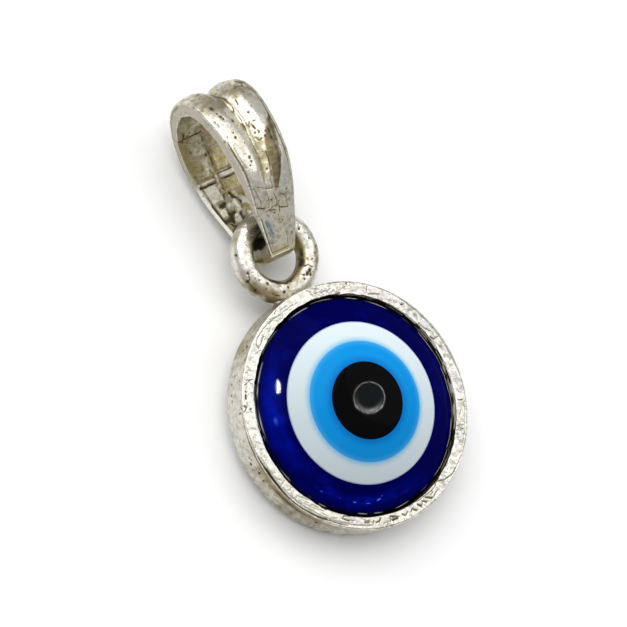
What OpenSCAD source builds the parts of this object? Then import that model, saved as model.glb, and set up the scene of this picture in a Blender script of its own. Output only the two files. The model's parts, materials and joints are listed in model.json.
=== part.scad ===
// Evil eye pendant: a glass eye in a round silver cup, a ring soldered to the cup's edge, and a
// loose grooved bail on the ring. It lies on its back: the bail's round back props the cup up a little.
// Millimetres. +Z is up, +Y runs from the cup to the bail, and Z = 0 is the surface that it lies on.
// Each piece is modelled in the cup's own frame, with the cup's flat back at Z = 0, and laid down last.

/* [Setting] */
// Outside diameter of the round cup
setting_diameter = 14; // [10:0.1:24]
// Height of the cup from its flat back to its rim
setting_height = 2.2; // [1.8:0.05:4]
// Width of the flat rim around the glass
rim_width = 0.77; // [0.5:0.01:1.2]
// Thickness of the cup's floor
floor_thickness = 0.5; // [0.3:0.05:0.8]
// Radius of the rounded edge around the flat back
back_edge_radius = 0.4; // [0.1:0.05:0.6]
// Radius of the softened outer edge of the rim
rim_edge_radius = 0.08; // [0.04:0.01:0.15]

/* [Ring] */
// Diameter of the hole in the soldered ring
ring_hole = 2.86; // [2.4:0.02:4.5]
// Diameter of the ring's wire
ring_wire = 1.28; // [0.9:0.02:1.4]
// Depth to which the ring is let into the cup's wall
solder_depth = 0.36; // [0.2:0.02:0.5]
// Radius of the pool of solder between the ring and the cup
solder_radius = 1.3; // [1:0.05:1.4]

/* [Glass eye] */
// Play between the glass and the rim, on each side
glass_clearance = 0.06; // [0.04:0.01:0.4]
// Rise of the glass dome from its edge to its top
dome_rise = 1.88; // [1:0.02:3]
// Drop from the rim down to the edge of the glass
glass_drop = 0.3; // [0.1:0.02:0.5]
// Diameter of the white ring
white_diameter = 9.14; // [8:0.02:9.6]
// Diameter of the sky blue ring, as a share of the white ring's
sky_share = 0.744; // [0.6:0.004:0.82]
// Diameter of the black pupil, as a share of the sky blue ring's
pupil_share = 0.644; // [0.4:0.004:0.76]
// Depth of each inlaid layer at its edge, below the dome
inlay_depth = 0.35; // [0.2:0.01:0.45]
// Gap left between pieces of glass, and between the glass and the cup's floor
seat_gap = 0.02; // [0.01:0.005:0.05]

/* [Bail] */
// Length of the bail along the pendant
bail_length = 10.12; // [8:0.05:16]
// Depth of the bail from front to back
bail_depth = 5.12; // [4.6:0.02:7]
// Width of the bail at its top
bail_width = 4.36; // [3:0.02:6]
// Thickness of the bail over the chain hole
bail_top_wall = 0.94; // [0.7:0.02:1.3]
// Thickness of the bail's front and back walls at mid length
bail_side_wall = 0.83; // [0.7:0.01:1.2]
// Thickness of the bail's lower end, inside the ring
tail_thickness = 1.4; // [1:0.05:1.8]
// Drop of the hole's lower end towards its two sides, which clears the round ring
tail_crown = 0.5; // [0.4:0.02:0.6]
// Depth of the groove between the two ridges
groove_depth = 0.35; // [0.1:0.01:0.4]
// Height of the ridges over the bail's edges
ridge_height = 0.15; // [0.05:0.01:0.3]
// Play between the ring's wire and the hole's lower end
ring_play = 0.28; // [0.2:0.02:0.5]
// Angle by which the bail leans forward on the ring
bail_lean = 2.5; // [0:0.5:8]
// Angle by which the loose bail is turned about its length
bail_turn = 8; // [-10:1:10]

/* [Hidden] */

// Sections around the bail, and steps across its outer and inner faces
bail_sections = 72;
outer_steps = 16;
inner_steps = 6;

// Setting and ring
setting_radius = setting_diameter / 2;
cavity_radius = setting_radius - rim_width;
ring_radius = (ring_hole + ring_wire) / 2;
ring_y = setting_radius + ring_hole / 2 + ring_wire - solder_depth;
ring_z = ring_wire / 2;
// The solder's thickness, as a share of the wire's
SOLDER_SHARE = 0.76;
solder_height = ring_wire * SOLDER_SHARE;

// Glass: a spherical dome over a straight girdle
glass_radius = cavity_radius - glass_clearance;
glass_bottom = floor_thickness + seat_gap;
dome_top = setting_height - glass_drop + dome_rise;
dome_radius = (glass_radius * glass_radius + dome_rise * dome_rise) / (2 * dome_rise);
dome_centre = dome_top - dome_radius;
white_radius = white_diameter / 2;
sky_radius = white_radius * sky_share;
pupil_radius = sky_radius * pupil_share;
function dome_z(r) = dome_centre + sqrt(dome_radius * dome_radius - r * r);
function layer_bottom(r) = dome_z(r) - inlay_depth;

// Bail: half of a teardrop loop, every 15 degrees from its top round to its lower end.
// The lengths are shares: both faces of half the bail's depth, the hole of half the hole's depth,
// and the half width of half the bail's width.
BAIL_STEP = 15;
FRONT = 0;
BACK = 1;
HOLE = 2;
HALF_WIDTH = 3;
bail_shape = [
//  front  back   hole   half width
    [0.00, 0.00,  0.00,  1.00],
    [0.27, 0.27,  0.30,  0.99],
    [0.52, 0.51,  0.58,  0.98],
    [0.72, 0.69,  0.79,  0.96],
    [0.88, 0.84,  0.94,  0.91],
    [0.98, 0.91,  1.00,  0.86],
    [1.00, 0.90,  1.00,  0.79],
    [0.88, 0.79,  0.95,  0.72],
    [0.69, 0.64,  0.84,  0.645],
    [0.54, 0.52,  0.73,  0.56],
    [0.41, 0.41,  0.60,  0.47],
    [0.30, 0.30,  0.40,  0.40],
    [0.00, 0.00,  0.00,  0.385]
];
bail_last = len(bail_shape) - 1;
// Stretches of the bail's length, from its lower end, over which the groove comes in on each face
FRONT_GROOVE = [0.30, 0.55];
BACK_GROOVE = [0.60, 0.90];
// Share of the half width from the middle to a ridge's crest, and that of the inner faces' rounding
CREST = 0.5;
INNER_ROUND = 0.12;
// Angles round the loop between which the hole's rounding grows into the tail's crown
CROWN_TURN = [120, 165];

hole_depth = bail_depth - 2 * bail_side_wall;
tail_y = ring_y + ring_hole / 2 - ring_play - tail_thickness;
hole_length = bail_length - bail_top_wall - tail_thickness;

// A smooth curve through one column of the table; sign is -1 where it crosses zero at both ends
function table_at(k, column, sign) =
    k < 0 ? sign * bail_shape[-k][column] :
    k > bail_last ? sign * bail_shape[2 * bail_last - k][column] :
    bail_shape[k][column];
function curve(p0, p1, p2, p3, f) =
    p1 + 0.5 * f * (p2 - p0 + f * (2 * p0 - 5 * p1 + 4 * p2 - p3 + f * (3 * (p1 - p2) + p3 - p0)));
function share(angle, column, sign) =
    let (k = min(floor(angle / BAIL_STEP), bail_last - 1), f = angle / BAIL_STEP - k)
    curve(table_at(k - 1, column, sign), table_at(k, column, sign),
          table_at(k + 1, column, sign), table_at(k + 2, column, sign), f);
function smooth(t) = let (c = max(0, min(1, t))) c * c * (3 - 2 * c);
function ramp(t, stretch) = smooth((t - stretch[0]) / (stretch[1] - stretch[0]));

// Height of the outer face over its edges, at a share u of the half width
function ridge(u) =
    abs(u) < CREST
        ? (groove_depth + ridge_height) * sin(90 * abs(u) / CREST) - groove_depth
        : ridge_height * cos(90 * (abs(u) - CREST) / (1 - CREST));
// Depth by which the inner face falls away towards the bail's two sides
function inner_fall(u, angle) =
    u * u * (INNER_ROUND + (tail_crown - INNER_ROUND) * ramp(angle, CROWN_TURN));

// Points of one section, in the bail's own frame: outer face from left to right, inner face back
function bail_section(turn) =
    let (
        angle = turn > 180 ? 360 - turn : turn,
        side = turn > 180 ? -1 : 1,
        along = (1 + cos(angle)) / 2,
        depth_share = share(angle, side > 0 ? FRONT : BACK, -1),
        outer = [bail_length * along, side * bail_depth / 2 * depth_share],
        inner = [tail_thickness + hole_length * along, side * hole_depth / 2 * share(angle, HOLE, -1)],
        out = (outer - inner) / norm(outer - inner),
        half = bail_width / 2 * share(angle, HALF_WIDTH, 1),
        groove = ramp(outer[0] / bail_length, side > 0 ? FRONT_GROOVE : BACK_GROOVE)
    )
    [
        for (j = [0:outer_steps])
            let (u = 2 * j / outer_steps - 1, p = outer + out * groove * ridge(u))
            [half * u, p[0], p[1]],
        for (j = [0:inner_steps])
            let (u = 1 - 2 * j / inner_steps, p = inner + out * inner_fall(u, angle))
            [half * u, p[0], p[1]]
    ];

// The bail as it hangs on the ring: turned about its length, then leant forward at the ring
function hung(p) =
    let (
        x = p[0] * cos(bail_turn) + p[2] * sin(bail_turn),
        z = p[2] * cos(bail_turn) - p[0] * sin(bail_turn)
    )
    [x, tail_y + p[1] * cos(bail_lean) - z * sin(bail_lean),
     ring_z + p[1] * sin(bail_lean) + z * cos(bail_lean)];
bail_points = [
    for (i = [0:bail_sections - 1])
        for (p = bail_section(360 * i / bail_sections)) hung(p)
];

// Angle at which the cup's far edge and the bail's back both touch the surface, found by halving
STEEPEST = 40;
HALVINGS = 24;
function bail_low(a) = min([for (p = bail_points) p[1] * sin(a) + p[2] * cos(a)]);
function cup_low(a) =
    back_edge_radius * (cos(a) - 1) - (setting_radius - back_edge_radius) * sin(a);
function halve(low, high, n) =
    let (middle = (low + high) / 2)
    n == 0 ? middle :
    bail_low(middle) > cup_low(middle) ? halve(low, middle, n - 1) : halve(middle, high, n - 1);
rest_angle = bail_low(0) >= 0 ? 0 : halve(0, STEEPEST, HALVINGS);
near_y = max([for (p = bail_points) p[1] * cos(rest_angle) - p[2] * sin(rest_angle)]);
far_y = -(setting_radius - rim_edge_radius) * cos(rest_angle)
        - (setting_height - rim_edge_radius) * sin(rest_angle) - rim_edge_radius;

// Lays a piece down on the surface, with the whole pendant centred over the origin
module laid() {
    translate([0, -(near_y + far_y) / 2, -cup_low(rest_angle)])
        rotate([rest_angle, 0, 0])
            children();
}

// The cup, its soldered ring and the solder between them
module setting() {
    color("gainsboro") laid() difference() {
        union() {
            cup_body();
            ring();
            solder();
        }
        translate([0, 0, floor_thickness])
            cylinder(r = cavity_radius, h = setting_height, $fn = 180);
    }
}

module cup_body() {
    rotate_extrude($fn = 180) {
        difference() {
            square([setting_radius, setting_height]);
            corner_cut(back_edge_radius);
            translate([0, setting_height]) mirror([0, 1]) corner_cut(rim_edge_radius);
        }
    }
}

// What a rounding of radius r takes off the outer corner of the cup's section
module corner_cut(r) {
    difference() {
        translate([setting_radius - r, -r]) square(2 * r);
        translate([setting_radius - r, r]) circle(r = r, $fn = 48);
    }
}

module ring() {
    translate([0, ring_y, ring_z])
        rotate_extrude($fn = 96)
            translate([ring_radius, 0]) circle(d = ring_wire, $fn = 48);
}

module solder() {
    translate([0, ring_y - ring_hole / 2 - solder_radius, ring_z - solder_height / 2])
        cylinder(r = solder_radius, h = solder_height, $fn = 64);
}

// The part of the dome within a radius, down to a given height
module dome_within(r, bottom) {
    intersection() {
        translate([0, 0, dome_centre]) sphere(r = dome_radius, $fn = 180);
        translate([0, 0, bottom]) cylinder(r = r, h = dome_top - bottom + 1, $fn = 180);
    }
}

// A pocket that takes the layer of radius r, with the seat gap all round and below
module pocket(r) {
    translate([0, 0, layer_bottom(r) - seat_gap])
        cylinder(r = r + seat_gap, h = dome_rise + setting_height, $fn = 180);
}

// One inlaid layer, with the pocket for the next one
module inlay(r, inner) {
    difference() {
        dome_within(r, layer_bottom(r));
        pocket(inner);
    }
}

module cobalt_glass() {
    color("darkblue") laid() difference() {
        dome_within(glass_radius, glass_bottom);
        pocket(white_radius);
    }
}

module white_layer() {
    color("white") laid() inlay(white_radius, sky_radius);
}

module sky_layer() {
    color("deepskyblue") laid() inlay(sky_radius, pupil_radius);
}

module pupil() {
    color("black") laid() dome_within(pupil_radius, layer_bottom(pupil_radius));
}

// The bail: sections joined round the loop, each ring of points with the next
module bail() {
    size = outer_steps + inner_steps + 2;
    faces = [
        for (i = [0:bail_sections - 1])
            for (j = [0:size - 1])
                let (
                    a = i * size + j,
                    b = i * size + (j + 1) % size,
                    c = (i + 1) % bail_sections * size + (j + 1) % size,
                    d = (i + 1) % bail_sections * size + j
                )
                each [[a, b, c], [a, c, d]]
    ];
    color("silver") laid() polyhedron(points = bail_points, faces = faces, convexity = 6);
}

setting();
bail();
cobalt_glass();
white_layer();
sky_layer();
pupil();
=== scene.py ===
"""Evil eye pendant: the finishes and fine forms of the cup, its ring, the bail and the glass eye.

Lengths are millimetres in the cup's own frame, as in the part's source: the cup's flat back is at
Z = 0, the eye looks along +Z and the bail lies towards +Y. CupFrame sets them into the part's frame.
"""

import itertools
import json
import logging
import math
from dataclasses import dataclass, field
from enum import Enum
from typing import Any

import bpy
import numpy as np
from mathutils import Matrix, Vector


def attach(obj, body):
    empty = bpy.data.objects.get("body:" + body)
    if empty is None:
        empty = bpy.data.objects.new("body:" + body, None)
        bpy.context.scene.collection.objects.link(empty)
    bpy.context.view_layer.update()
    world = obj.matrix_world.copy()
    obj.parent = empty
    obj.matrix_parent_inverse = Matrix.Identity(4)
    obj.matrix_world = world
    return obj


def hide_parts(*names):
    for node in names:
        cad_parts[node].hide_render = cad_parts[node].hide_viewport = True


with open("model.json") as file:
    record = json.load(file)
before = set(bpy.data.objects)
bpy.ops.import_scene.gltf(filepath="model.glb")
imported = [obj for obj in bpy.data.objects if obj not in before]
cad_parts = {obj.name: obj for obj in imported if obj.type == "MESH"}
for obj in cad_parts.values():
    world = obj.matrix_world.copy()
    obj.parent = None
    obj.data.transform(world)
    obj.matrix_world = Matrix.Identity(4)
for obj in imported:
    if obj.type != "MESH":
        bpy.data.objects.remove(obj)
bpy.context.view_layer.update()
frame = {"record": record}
LOG = logging.getLogger("pendant")
MM = 0.001
# Rows of numbers, and a linear colour
Table = tuple[tuple[float, ...], ...]
Colour = tuple[float, float, float]


class Joining(Enum):
    """How a grid's second direction closes: ROUND wraps, POLES shrinks each end to a point."""

    ROUND = "round"
    POLES = "poles"


class Zone(Enum):
    """Stretches of the cup's profile that take different tooling."""

    BACK = 0
    WALL = 1
    RIM = 2
    INSIDE = 3


@dataclass(frozen=True)
class CupFrame:
    """The cup's frame set in the part's frame.

    Fields: origin, the centre of the cup's flat back in metres; axes, its X, Y and Z as rows.
    """

    origin: np.ndarray
    axes: np.ndarray

    @classmethod
    def from_record(cls, record: dict[str, Any]) -> "CupFrame":
        """Reads the frame from the mount on the cup's flat back.

        Args:
            record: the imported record.
        Returns:
            The frame, with X level and Z out of the eye.
        """
        back = next(mount for mount in record["mounts"] if mount["name"] == "back")
        up = -np.array(back["axis"])
        along = np.cross(up, (1.0, 0.0, 0.0))
        along /= np.linalg.norm(along)
        return cls(np.array(back["pos_m"]), np.array([np.cross(along, up), along, up]))

    def point(self, millimetres: np.ndarray) -> np.ndarray:
        """Turns points in the cup's frame, in millimetres, into the part's frame in metres."""
        return self.origin + np.asarray(millimetres) @ self.axes * MM

    def direction(self, vector: np.ndarray) -> np.ndarray:
        """Turns a direction in the cup's frame into the part's frame."""
        return np.asarray(vector) @ self.axes


class Grain:
    """Smooth value noise: a lattice of seeded random numbers, blended with a smooth step."""

    SIDE = 32

    def __init__(self, seed: int) -> None:
        """Fills the lattice from a seed."""
        self.table = np.random.default_rng(seed).uniform(-1, 1, (self.SIDE,) * 3)

    def at(self, points: np.ndarray, size: float) -> np.ndarray:
        """Samples the noise.

        Args:
            points: positions in millimetres, with the three coordinates last.
            size: the lattice's spacing in millimetres.
        Returns:
            A value from -1 to 1 for each point.
        """
        scaled = points / size
        base = np.floor(scaled).astype(int)
        part = scaled - base
        part = part * part * (3 - 2 * part)
        total = np.zeros(points.shape[:-1])
        for corner in itertools.product((0, 1), repeat=3):
            weight = np.prod(np.where(corner, part, 1 - part), axis=-1)
            cell = (base + corner) % self.SIDE
            total += weight * self.table[cell[..., 0], cell[..., 1], cell[..., 2]]
        return total

    def over(self, u: np.ndarray, v: Any = 0.0, w: Any = 0.0) -> np.ndarray:
        """Samples the noise over coordinates that broadcast together, one cell for each unit."""
        return self.at(np.stack(np.broadcast_arrays(u, v, w), -1), 1.0)

    def worn(self, points: np.ndarray, *layers: tuple[float, float]) -> np.ndarray:
        """Unevenness in millimetres, from 0 down: the sum of (noise - 1) times each layer's depth."""
        return sum((self.at(points, size) - 1) * depth for size, depth in layers)


def smooth(t: np.ndarray) -> np.ndarray:
    """A smooth step from 0 to 1 as t goes from 0 to 1."""
    c = np.clip(t, 0, 1)
    return c * c * (3 - 2 * c)


def ramp(x: np.ndarray, start: float, end: float) -> np.ndarray:
    """A smooth step from 0 where x is start to 1 where it is end, which may be the smaller."""
    return smooth((x - start) / (end - start))


def bump(x: np.ndarray, width: float) -> np.ndarray:
    """A bell of height 1 at x = 0 that falls to 1/e at the given width."""
    return np.exp(-((x / width) ** 2))


def unit(v: np.ndarray) -> np.ndarray:
    """Vectors scaled to length 1."""
    return v / np.linalg.norm(v, axis=-1, keepdims=True)


def turned(angle: np.ndarray, towards: float) -> np.ndarray:
    """The difference between angles in degrees, from -180 to 180."""
    return (angle - towards + 180) % 360 - 180


def near(angle: np.ndarray, towards: float, spread: float) -> np.ndarray:
    """A bell of height 1 round one angle, in degrees."""
    return bump(turned(angle, towards), spread)


def bells(angle: np.ndarray, rows: Table) -> np.ndarray:
    """The sum of bells over degrees; each row holds an angle, a spread and a height."""
    return sum(height * near(angle, towards, spread) for towards, spread, height in rows)


def line(start: tuple[float, float], end: tuple[float, float], count: int) -> np.ndarray:
    """Points on a straight line, ends included."""
    return np.linspace(start, end, count)


def arc(centre: tuple[float, float], radius: float, angles: np.ndarray) -> np.ndarray:
    """Points on a circle at the given angles in radians."""
    return np.array(centre) + radius * np.stack([np.cos(angles), np.sin(angles)], -1)


def revolved(angle: np.ndarray, rows: np.ndarray) -> np.ndarray:
    """Turns a section's rows of r and z about Z, one turn for each angle: (r cos a, r sin a, z)."""
    a, r, z = np.radians(angle)[:, None], rows[:, 0], rows[:, 1]
    return np.stack([r * np.cos(a), r * np.sin(a), np.broadcast_to(z, (len(a), len(z)))], -1)


def pitted(points: np.ndarray, centres: np.ndarray, radii: np.ndarray) -> np.ndarray:
    """Small casting pits: at each point the strongest bell of the distance to a pit's centre.

    Args:
        points: positions, with the three coordinates last.
        centres: one row for each pit.
        radii: each pit's radius.
    Returns:
        Depth from 0 to 1 at each point.
    """
    flat = points.reshape(-1, 3)
    depth = np.zeros(len(flat))
    for centre, radius in zip(centres, radii):
        depth = np.maximum(depth, np.exp(-(np.sum((flat - centre) ** 2, axis=1) / radius**2) ** 1.5))
    return depth.reshape(points.shape[:-1])


def scattered(points: np.ndarray, mask: np.ndarray, count: int, seed: int) -> tuple[np.ndarray, np.ndarray]:
    """Seeded pits in small clusters on the part of a surface where a mask is set.

    Args:
        points: positions, with the three coordinates last.
        mask: where pits may be.
        count: how many.
        seed: the seed of the random picks.
    Returns:
        Centres and radii.
    """
    draw = np.random.default_rng(seed)
    rows = points[mask]
    hearts = rows[draw.integers(0, len(rows), max(count // 4, 1))]
    centres = hearts[draw.integers(0, len(hearts), count)] + draw.normal(0, 0.28, (count, 3))
    return centres, 0.035 + 0.075 * draw.random(count) ** 2


def stroke(x: np.ndarray, y: np.ndarray, ends: tuple[float, ...], width: float) -> np.ndarray:
    """A bell of the distance to a straight stroke.

    Args:
        x, y: coordinates over the surface.
        ends: x and y of the stroke's start, then of its end.
        width: the distance at which the bell falls to 1/e.
    Returns:
        A value from 0 to 1 at each point.
    """
    x0, y0, x1, y1 = ends
    long = math.hypot(x1 - x0, y1 - y0)
    a, b = (x1 - x0) / long, (y1 - y0) / long
    run = np.clip((x - x0) * a + (y - y0) * b, 0, long)
    return bump(np.hypot(x - x0 - run * a, y - y0 - run * b), width)


@dataclass
class Skin:
    """A closed surface as a grid of points, with values that its finish reads.

    Fields: name, the piece's name; points, a grid of positions in the cup's frame; across, how the
    second direction closes (the first always wraps); values, named grids of numbers; crease, the
    angle in degrees past which an edge stays sharp.
    """

    name: str
    points: np.ndarray
    across: Joining
    values: dict[str, np.ndarray] = field(default_factory=dict)
    crease: float = 60.0

    def faces(self) -> tuple[np.ndarray, np.ndarray]:
        """Works out quads between neighbouring rows and columns, and triangles at the poles.

        Returns:
            Quads and triangles as rows of point numbers.
        """
        n, m = self.points.shape[:2]
        number = np.arange(n * m).reshape(n, m)
        if self.across is Joining.ROUND:
            after = np.roll(number, -1, axis=0)
            quads = np.stack([number, np.roll(number, -1, 1), np.roll(after, -1, 1), after], -1)
            return quads.reshape(-1, 4), np.zeros((0, 3), int)
        number[:, 0] = number[0, 0]
        number[:, -1] = number[0, -1]
        after = np.roll(number, -1, axis=0)
        a, b, c, d = number[:, :-1], number[:, 1:], after[:, 1:], after[:, :-1]
        quads = np.stack([a, b, c, d], -1)[:, 1:-1].reshape(-1, 4)
        first = np.stack([a, b, c], -1)[:, 0]
        last = np.stack([a, b, d], -1)[:, -1]
        return quads, np.concatenate([first, last])

    def make(self, place: CupFrame, finish: bpy.types.Material) -> bpy.types.Object:
        """Builds the piece at its place, with faces that point outwards.

        Args:
            place: where the cup's frame lies.
            finish: the piece's material.
        Returns:
            The piece, which rides on the part's one body.
        """
        points = self.points.reshape(-1, 3)
        quads, triangles = self.faces()
        halves = np.concatenate([quads[:, :3], quads[:, [0, 2, 3]], triangles])
        p, q, r = (points[halves[:, k]] for k in range(3))
        if np.sum(p * np.cross(q, r)) < 0:
            quads, triangles = quads[:, ::-1], triangles[:, ::-1]
        used, flat = np.unique(np.concatenate([quads.ravel(), triangles.ravel()]), return_inverse=True)
        quads = flat[: quads.size].reshape(-1, 4)
        triangles = flat[quads.size :].reshape(-1, 3)
        mesh = bpy.data.meshes.new(self.name)
        mesh.from_pydata(place.point(points[used]).tolist(), [], quads.tolist() + triangles.tolist())
        for name, grid in self.values.items():
            layer = mesh.attributes.new(name, "FLOAT", "POINT")
            layer.data.foreach_set("value", grid.reshape(-1)[used].astype(np.float32))
        mesh.shade_smooth()
        mesh.set_sharp_from_angle(angle=math.radians(self.crease))
        mesh.materials.append(finish)
        piece = bpy.data.objects.new(self.name, mesh)
        bpy.context.scene.collection.objects.link(piece)
        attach(piece, "root")
        LOG.info("%s: %d points, %d faces", self.name, len(used), len(quads) + len(triangles))
        return piece


class Link:
    """A node's output, with Python's operators for numbers."""

    def __init__(self, board: "Board", socket: bpy.types.NodeSocket) -> None:
        """Keeps the socket and the board that it is on."""
        self.board = board
        self.socket = socket

    def __add__(self, other: Any) -> "Link":
        """Sum."""
        return self.board.maths("ADD", self, other)

    def __radd__(self, other: Any) -> "Link":
        """Sum, with the link on the right."""
        return self.board.maths("ADD", other, self)

    def __sub__(self, other: Any) -> "Link":
        """Difference."""
        return self.board.maths("SUBTRACT", self, other)

    def __rsub__(self, other: Any) -> "Link":
        """Difference, with the link on the right."""
        return self.board.maths("SUBTRACT", other, self)

    def __mul__(self, other: Any) -> "Link":
        """Product."""
        return self.board.maths("MULTIPLY", self, other)

    def __rmul__(self, other: Any) -> "Link":
        """Product, with the link on the right."""
        return self.board.maths("MULTIPLY", other, self)

    def step(self, low: float, high: float) -> "Link":
        """A smooth step from 0 to 1 as the value goes from low to high, which may be lower.

        Args:
            low: the value that gives 0.
            high: the value that gives 1.
        Returns:
            The step.
        """
        if low > high:
            return 1 - self.step(high, low)
        settings = {"interpolation_type": "SMOOTHSTEP"}
        values = {"Value": self, "From Min": low, "From Max": high}
        return self.board.add("ShaderNodeMapRange", settings, values)


class Board:
    """A material's node tree, and short ways to add to it."""

    def __init__(self, name: str) -> None:
        """Makes an empty material with an output.

        Args:
            name: the material's name.
        """
        self.material = bpy.data.materials.new(name)
        self.material.use_nodes = True
        self.tree = self.material.node_tree
        self.tree.nodes.clear()

    def add(self, kind: str, settings: dict[str, Any], values: dict[Any, Any], out: Any = 0) -> Link:
        """Adds one node.

        Args:
            kind: the node's type.
            settings: the node's own properties, set first.
            values: links or constants for its inputs, by name or number.
            out: the output to give back, by name or number.
        Returns:
            The chosen output.
        """
        node = self.tree.nodes.new(kind)
        for name, value in settings.items():
            setattr(node, name, value)
        for name, value in values.items():
            if isinstance(value, Link):
                self.tree.links.new(value.socket, node.inputs[name])
            else:
                node.inputs[name].default_value = value
        return Link(self, node.outputs[out])

    def maths(self, operation: str, a: Any, b: Any) -> Link:
        """One Math node on two numbers or links."""
        return self.add("ShaderNodeMath", {"operation": operation}, {0: a, 1: b})

    def value(self, name: str) -> Link:
        """One of the piece's own named values."""
        return self.add("ShaderNodeAttribute", {"attribute_name": name}, {}, "Fac")

    def place(self) -> Link:
        """The piece's Object coordinates in millimetres."""
        spot = self.add("ShaderNodeTexCoord", {}, {}, "Object")
        return self.add("ShaderNodeMapping", {}, {"Vector": spot, "Scale": (1 / MM,) * 3})

    def noise(self, where: Link, size: float, detail: float = 2.0, rough: float = 0.5) -> Link:
        """Noise of a given size in millimetres, from 0 to 1."""
        values = {"Vector": where, "Scale": 1 / size, "Detail": detail, "Roughness": rough}
        return self.add("ShaderNodeTexNoise", {}, values, "Fac")

    def mix(self, factor: Any, a: Any, b: Any) -> Link:
        """Blends two colours."""
        return self.add("ShaderNodeMix", {"data_type": "RGBA"}, {0: factor, 6: rgba(a), 7: rgba(b)}, 2)

    def bumped(self, height: Link, depth: float, strength: float) -> Link:
        """A normal that a height of the given depth in millimetres disturbs."""
        values = {"Strength": strength, "Distance": depth * MM, "Height": height}
        return self.add("ShaderNodeBump", {}, values)

    def surface(self, values: dict[str, Any]) -> bpy.types.Material:
        """Ends the material with a Principled shader.

        Args:
            values: links or constants for its inputs.
        Returns:
            The finished material.
        """
        shader = self.add("ShaderNodeBsdfPrincipled", {}, values)
        end = self.tree.nodes.new("ShaderNodeOutputMaterial")
        self.tree.links.new(shader.socket, end.inputs["Surface"])
        return self.material


def rgba(colour: Any) -> Any:
    """A colour with full alpha, or a link as it is."""
    return colour if isinstance(colour, Link) else (*colour[:3], 1.0)


@dataclass(frozen=True)
class Silver:
    """Cast silver, worn bright where it is touched and stained in its pits and hollows.

    Fields: bright and shade, the clean metal's two tones; stain and deep, the tarnish's two tones;
    gold, beige, cream and blue, the tones of its warm, pale and cool patches; gloss, the clean
    metal's roughness; haze, how much the tones wander; veins, how dark its fine cracks are; relief,
    the height in millimetres of its unevenness.
    """

    name: str
    bright: Colour = (0.76, 0.745, 0.685)
    shade: Colour = (0.37, 0.355, 0.27)
    stain: Colour = (0.27, 0.22, 0.12)
    deep: Colour = (0.030, 0.021, 0.012)
    gold: Colour = (0.47, 0.38, 0.14)
    beige: Colour = (0.37, 0.335, 0.265)
    cream: Colour = (0.95, 0.92, 0.78)
    blue: Colour = (0.19, 0.25, 0.36)
    gloss: float = 0.20
    haze: float = 0.8
    veins: float = 0.5
    relief: float = 0.03

    def material(self) -> bpy.types.Material:
        """Builds the finish: cloudy tones, stain where the tarnish value is high, veins and grit.

        Returns:
            The material.
        """
        board = Board(self.name)
        where = board.place()
        tarnish = board.value("tarnish")
        cloud = board.noise(where, 1.3, 3.0, 0.6)
        film = board.noise(where, 0.32, 4.0, 0.7)
        grit = board.noise(where, 0.12, 2.0, 0.6)
        ridge = board.maths("ABSOLUTE", board.noise(where, 0.85, 3.0, 0.6) - 0.5, 0.0)
        vein = ridge.step(0.016, 0.002) * cloud.step(0.44, 0.60) * self.veins
        speck = board.noise(where, 0.15, 2.0, 0.5).step(0.68, 0.73) * cloud.step(0.46, 0.58)
        dull = 1 - board.value("polish") * 0.75
        tone = (film.step(0.44, 0.64) * 0.8 + grit.step(0.48, 0.70) * 0.4) * self.haze * dull
        metal = board.mix(tone, self.bright, self.shade)
        unrest = (film - 0.5) * 0.9 * tarnish.step(0.02, 0.30) * (0.15 + dull * 0.85)
        soiled = (tarnish + unrest).step(0.06, 0.70)
        stained = board.mix(soiled, metal, self.stain)
        dark = board.maths("MINIMUM", tarnish.step(0.55, 1.0) + vein + speck * 0.7, 1.0)
        warm, pale, cool = (board.value(name) for name in ("warm", "pale", "cool"))
        tinted = board.mix(warm * (0.6 + film.step(0.35, 0.65) * 0.4), stained, self.gold)
        tinted = board.mix(pale.step(0.0, 0.5) * 0.9, tinted, self.beige)
        tinted = board.mix(pale.step(0.5, 0.95) * (0.8 + grit.step(0.35, 0.6) * 0.2), tinted, self.cream)
        tinted = board.mix(cool, tinted, self.blue)
        colour = board.mix(dark, tinted, self.deep)
        matt = board.maths("MINIMUM", dark * 0.5 + warm * 0.6 + pale * 1.2 + cool * 0.5, 0.85)
        height = (grit * 0.4 + film * 0.8 + cloud * 0.8) * (1 - pale * 0.7) - vein * 0.6 - speck * 0.5
        values = {
            "Base Color": colour,
            "Metallic": 1 - matt,
            "Roughness": self.gloss + grit * 0.10 + film.step(0.4, 0.7) * 0.10 + soiled * 0.22,
            "Normal": board.bumped(height, self.relief, 0.8),
        }
        return board.surface(values)


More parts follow.
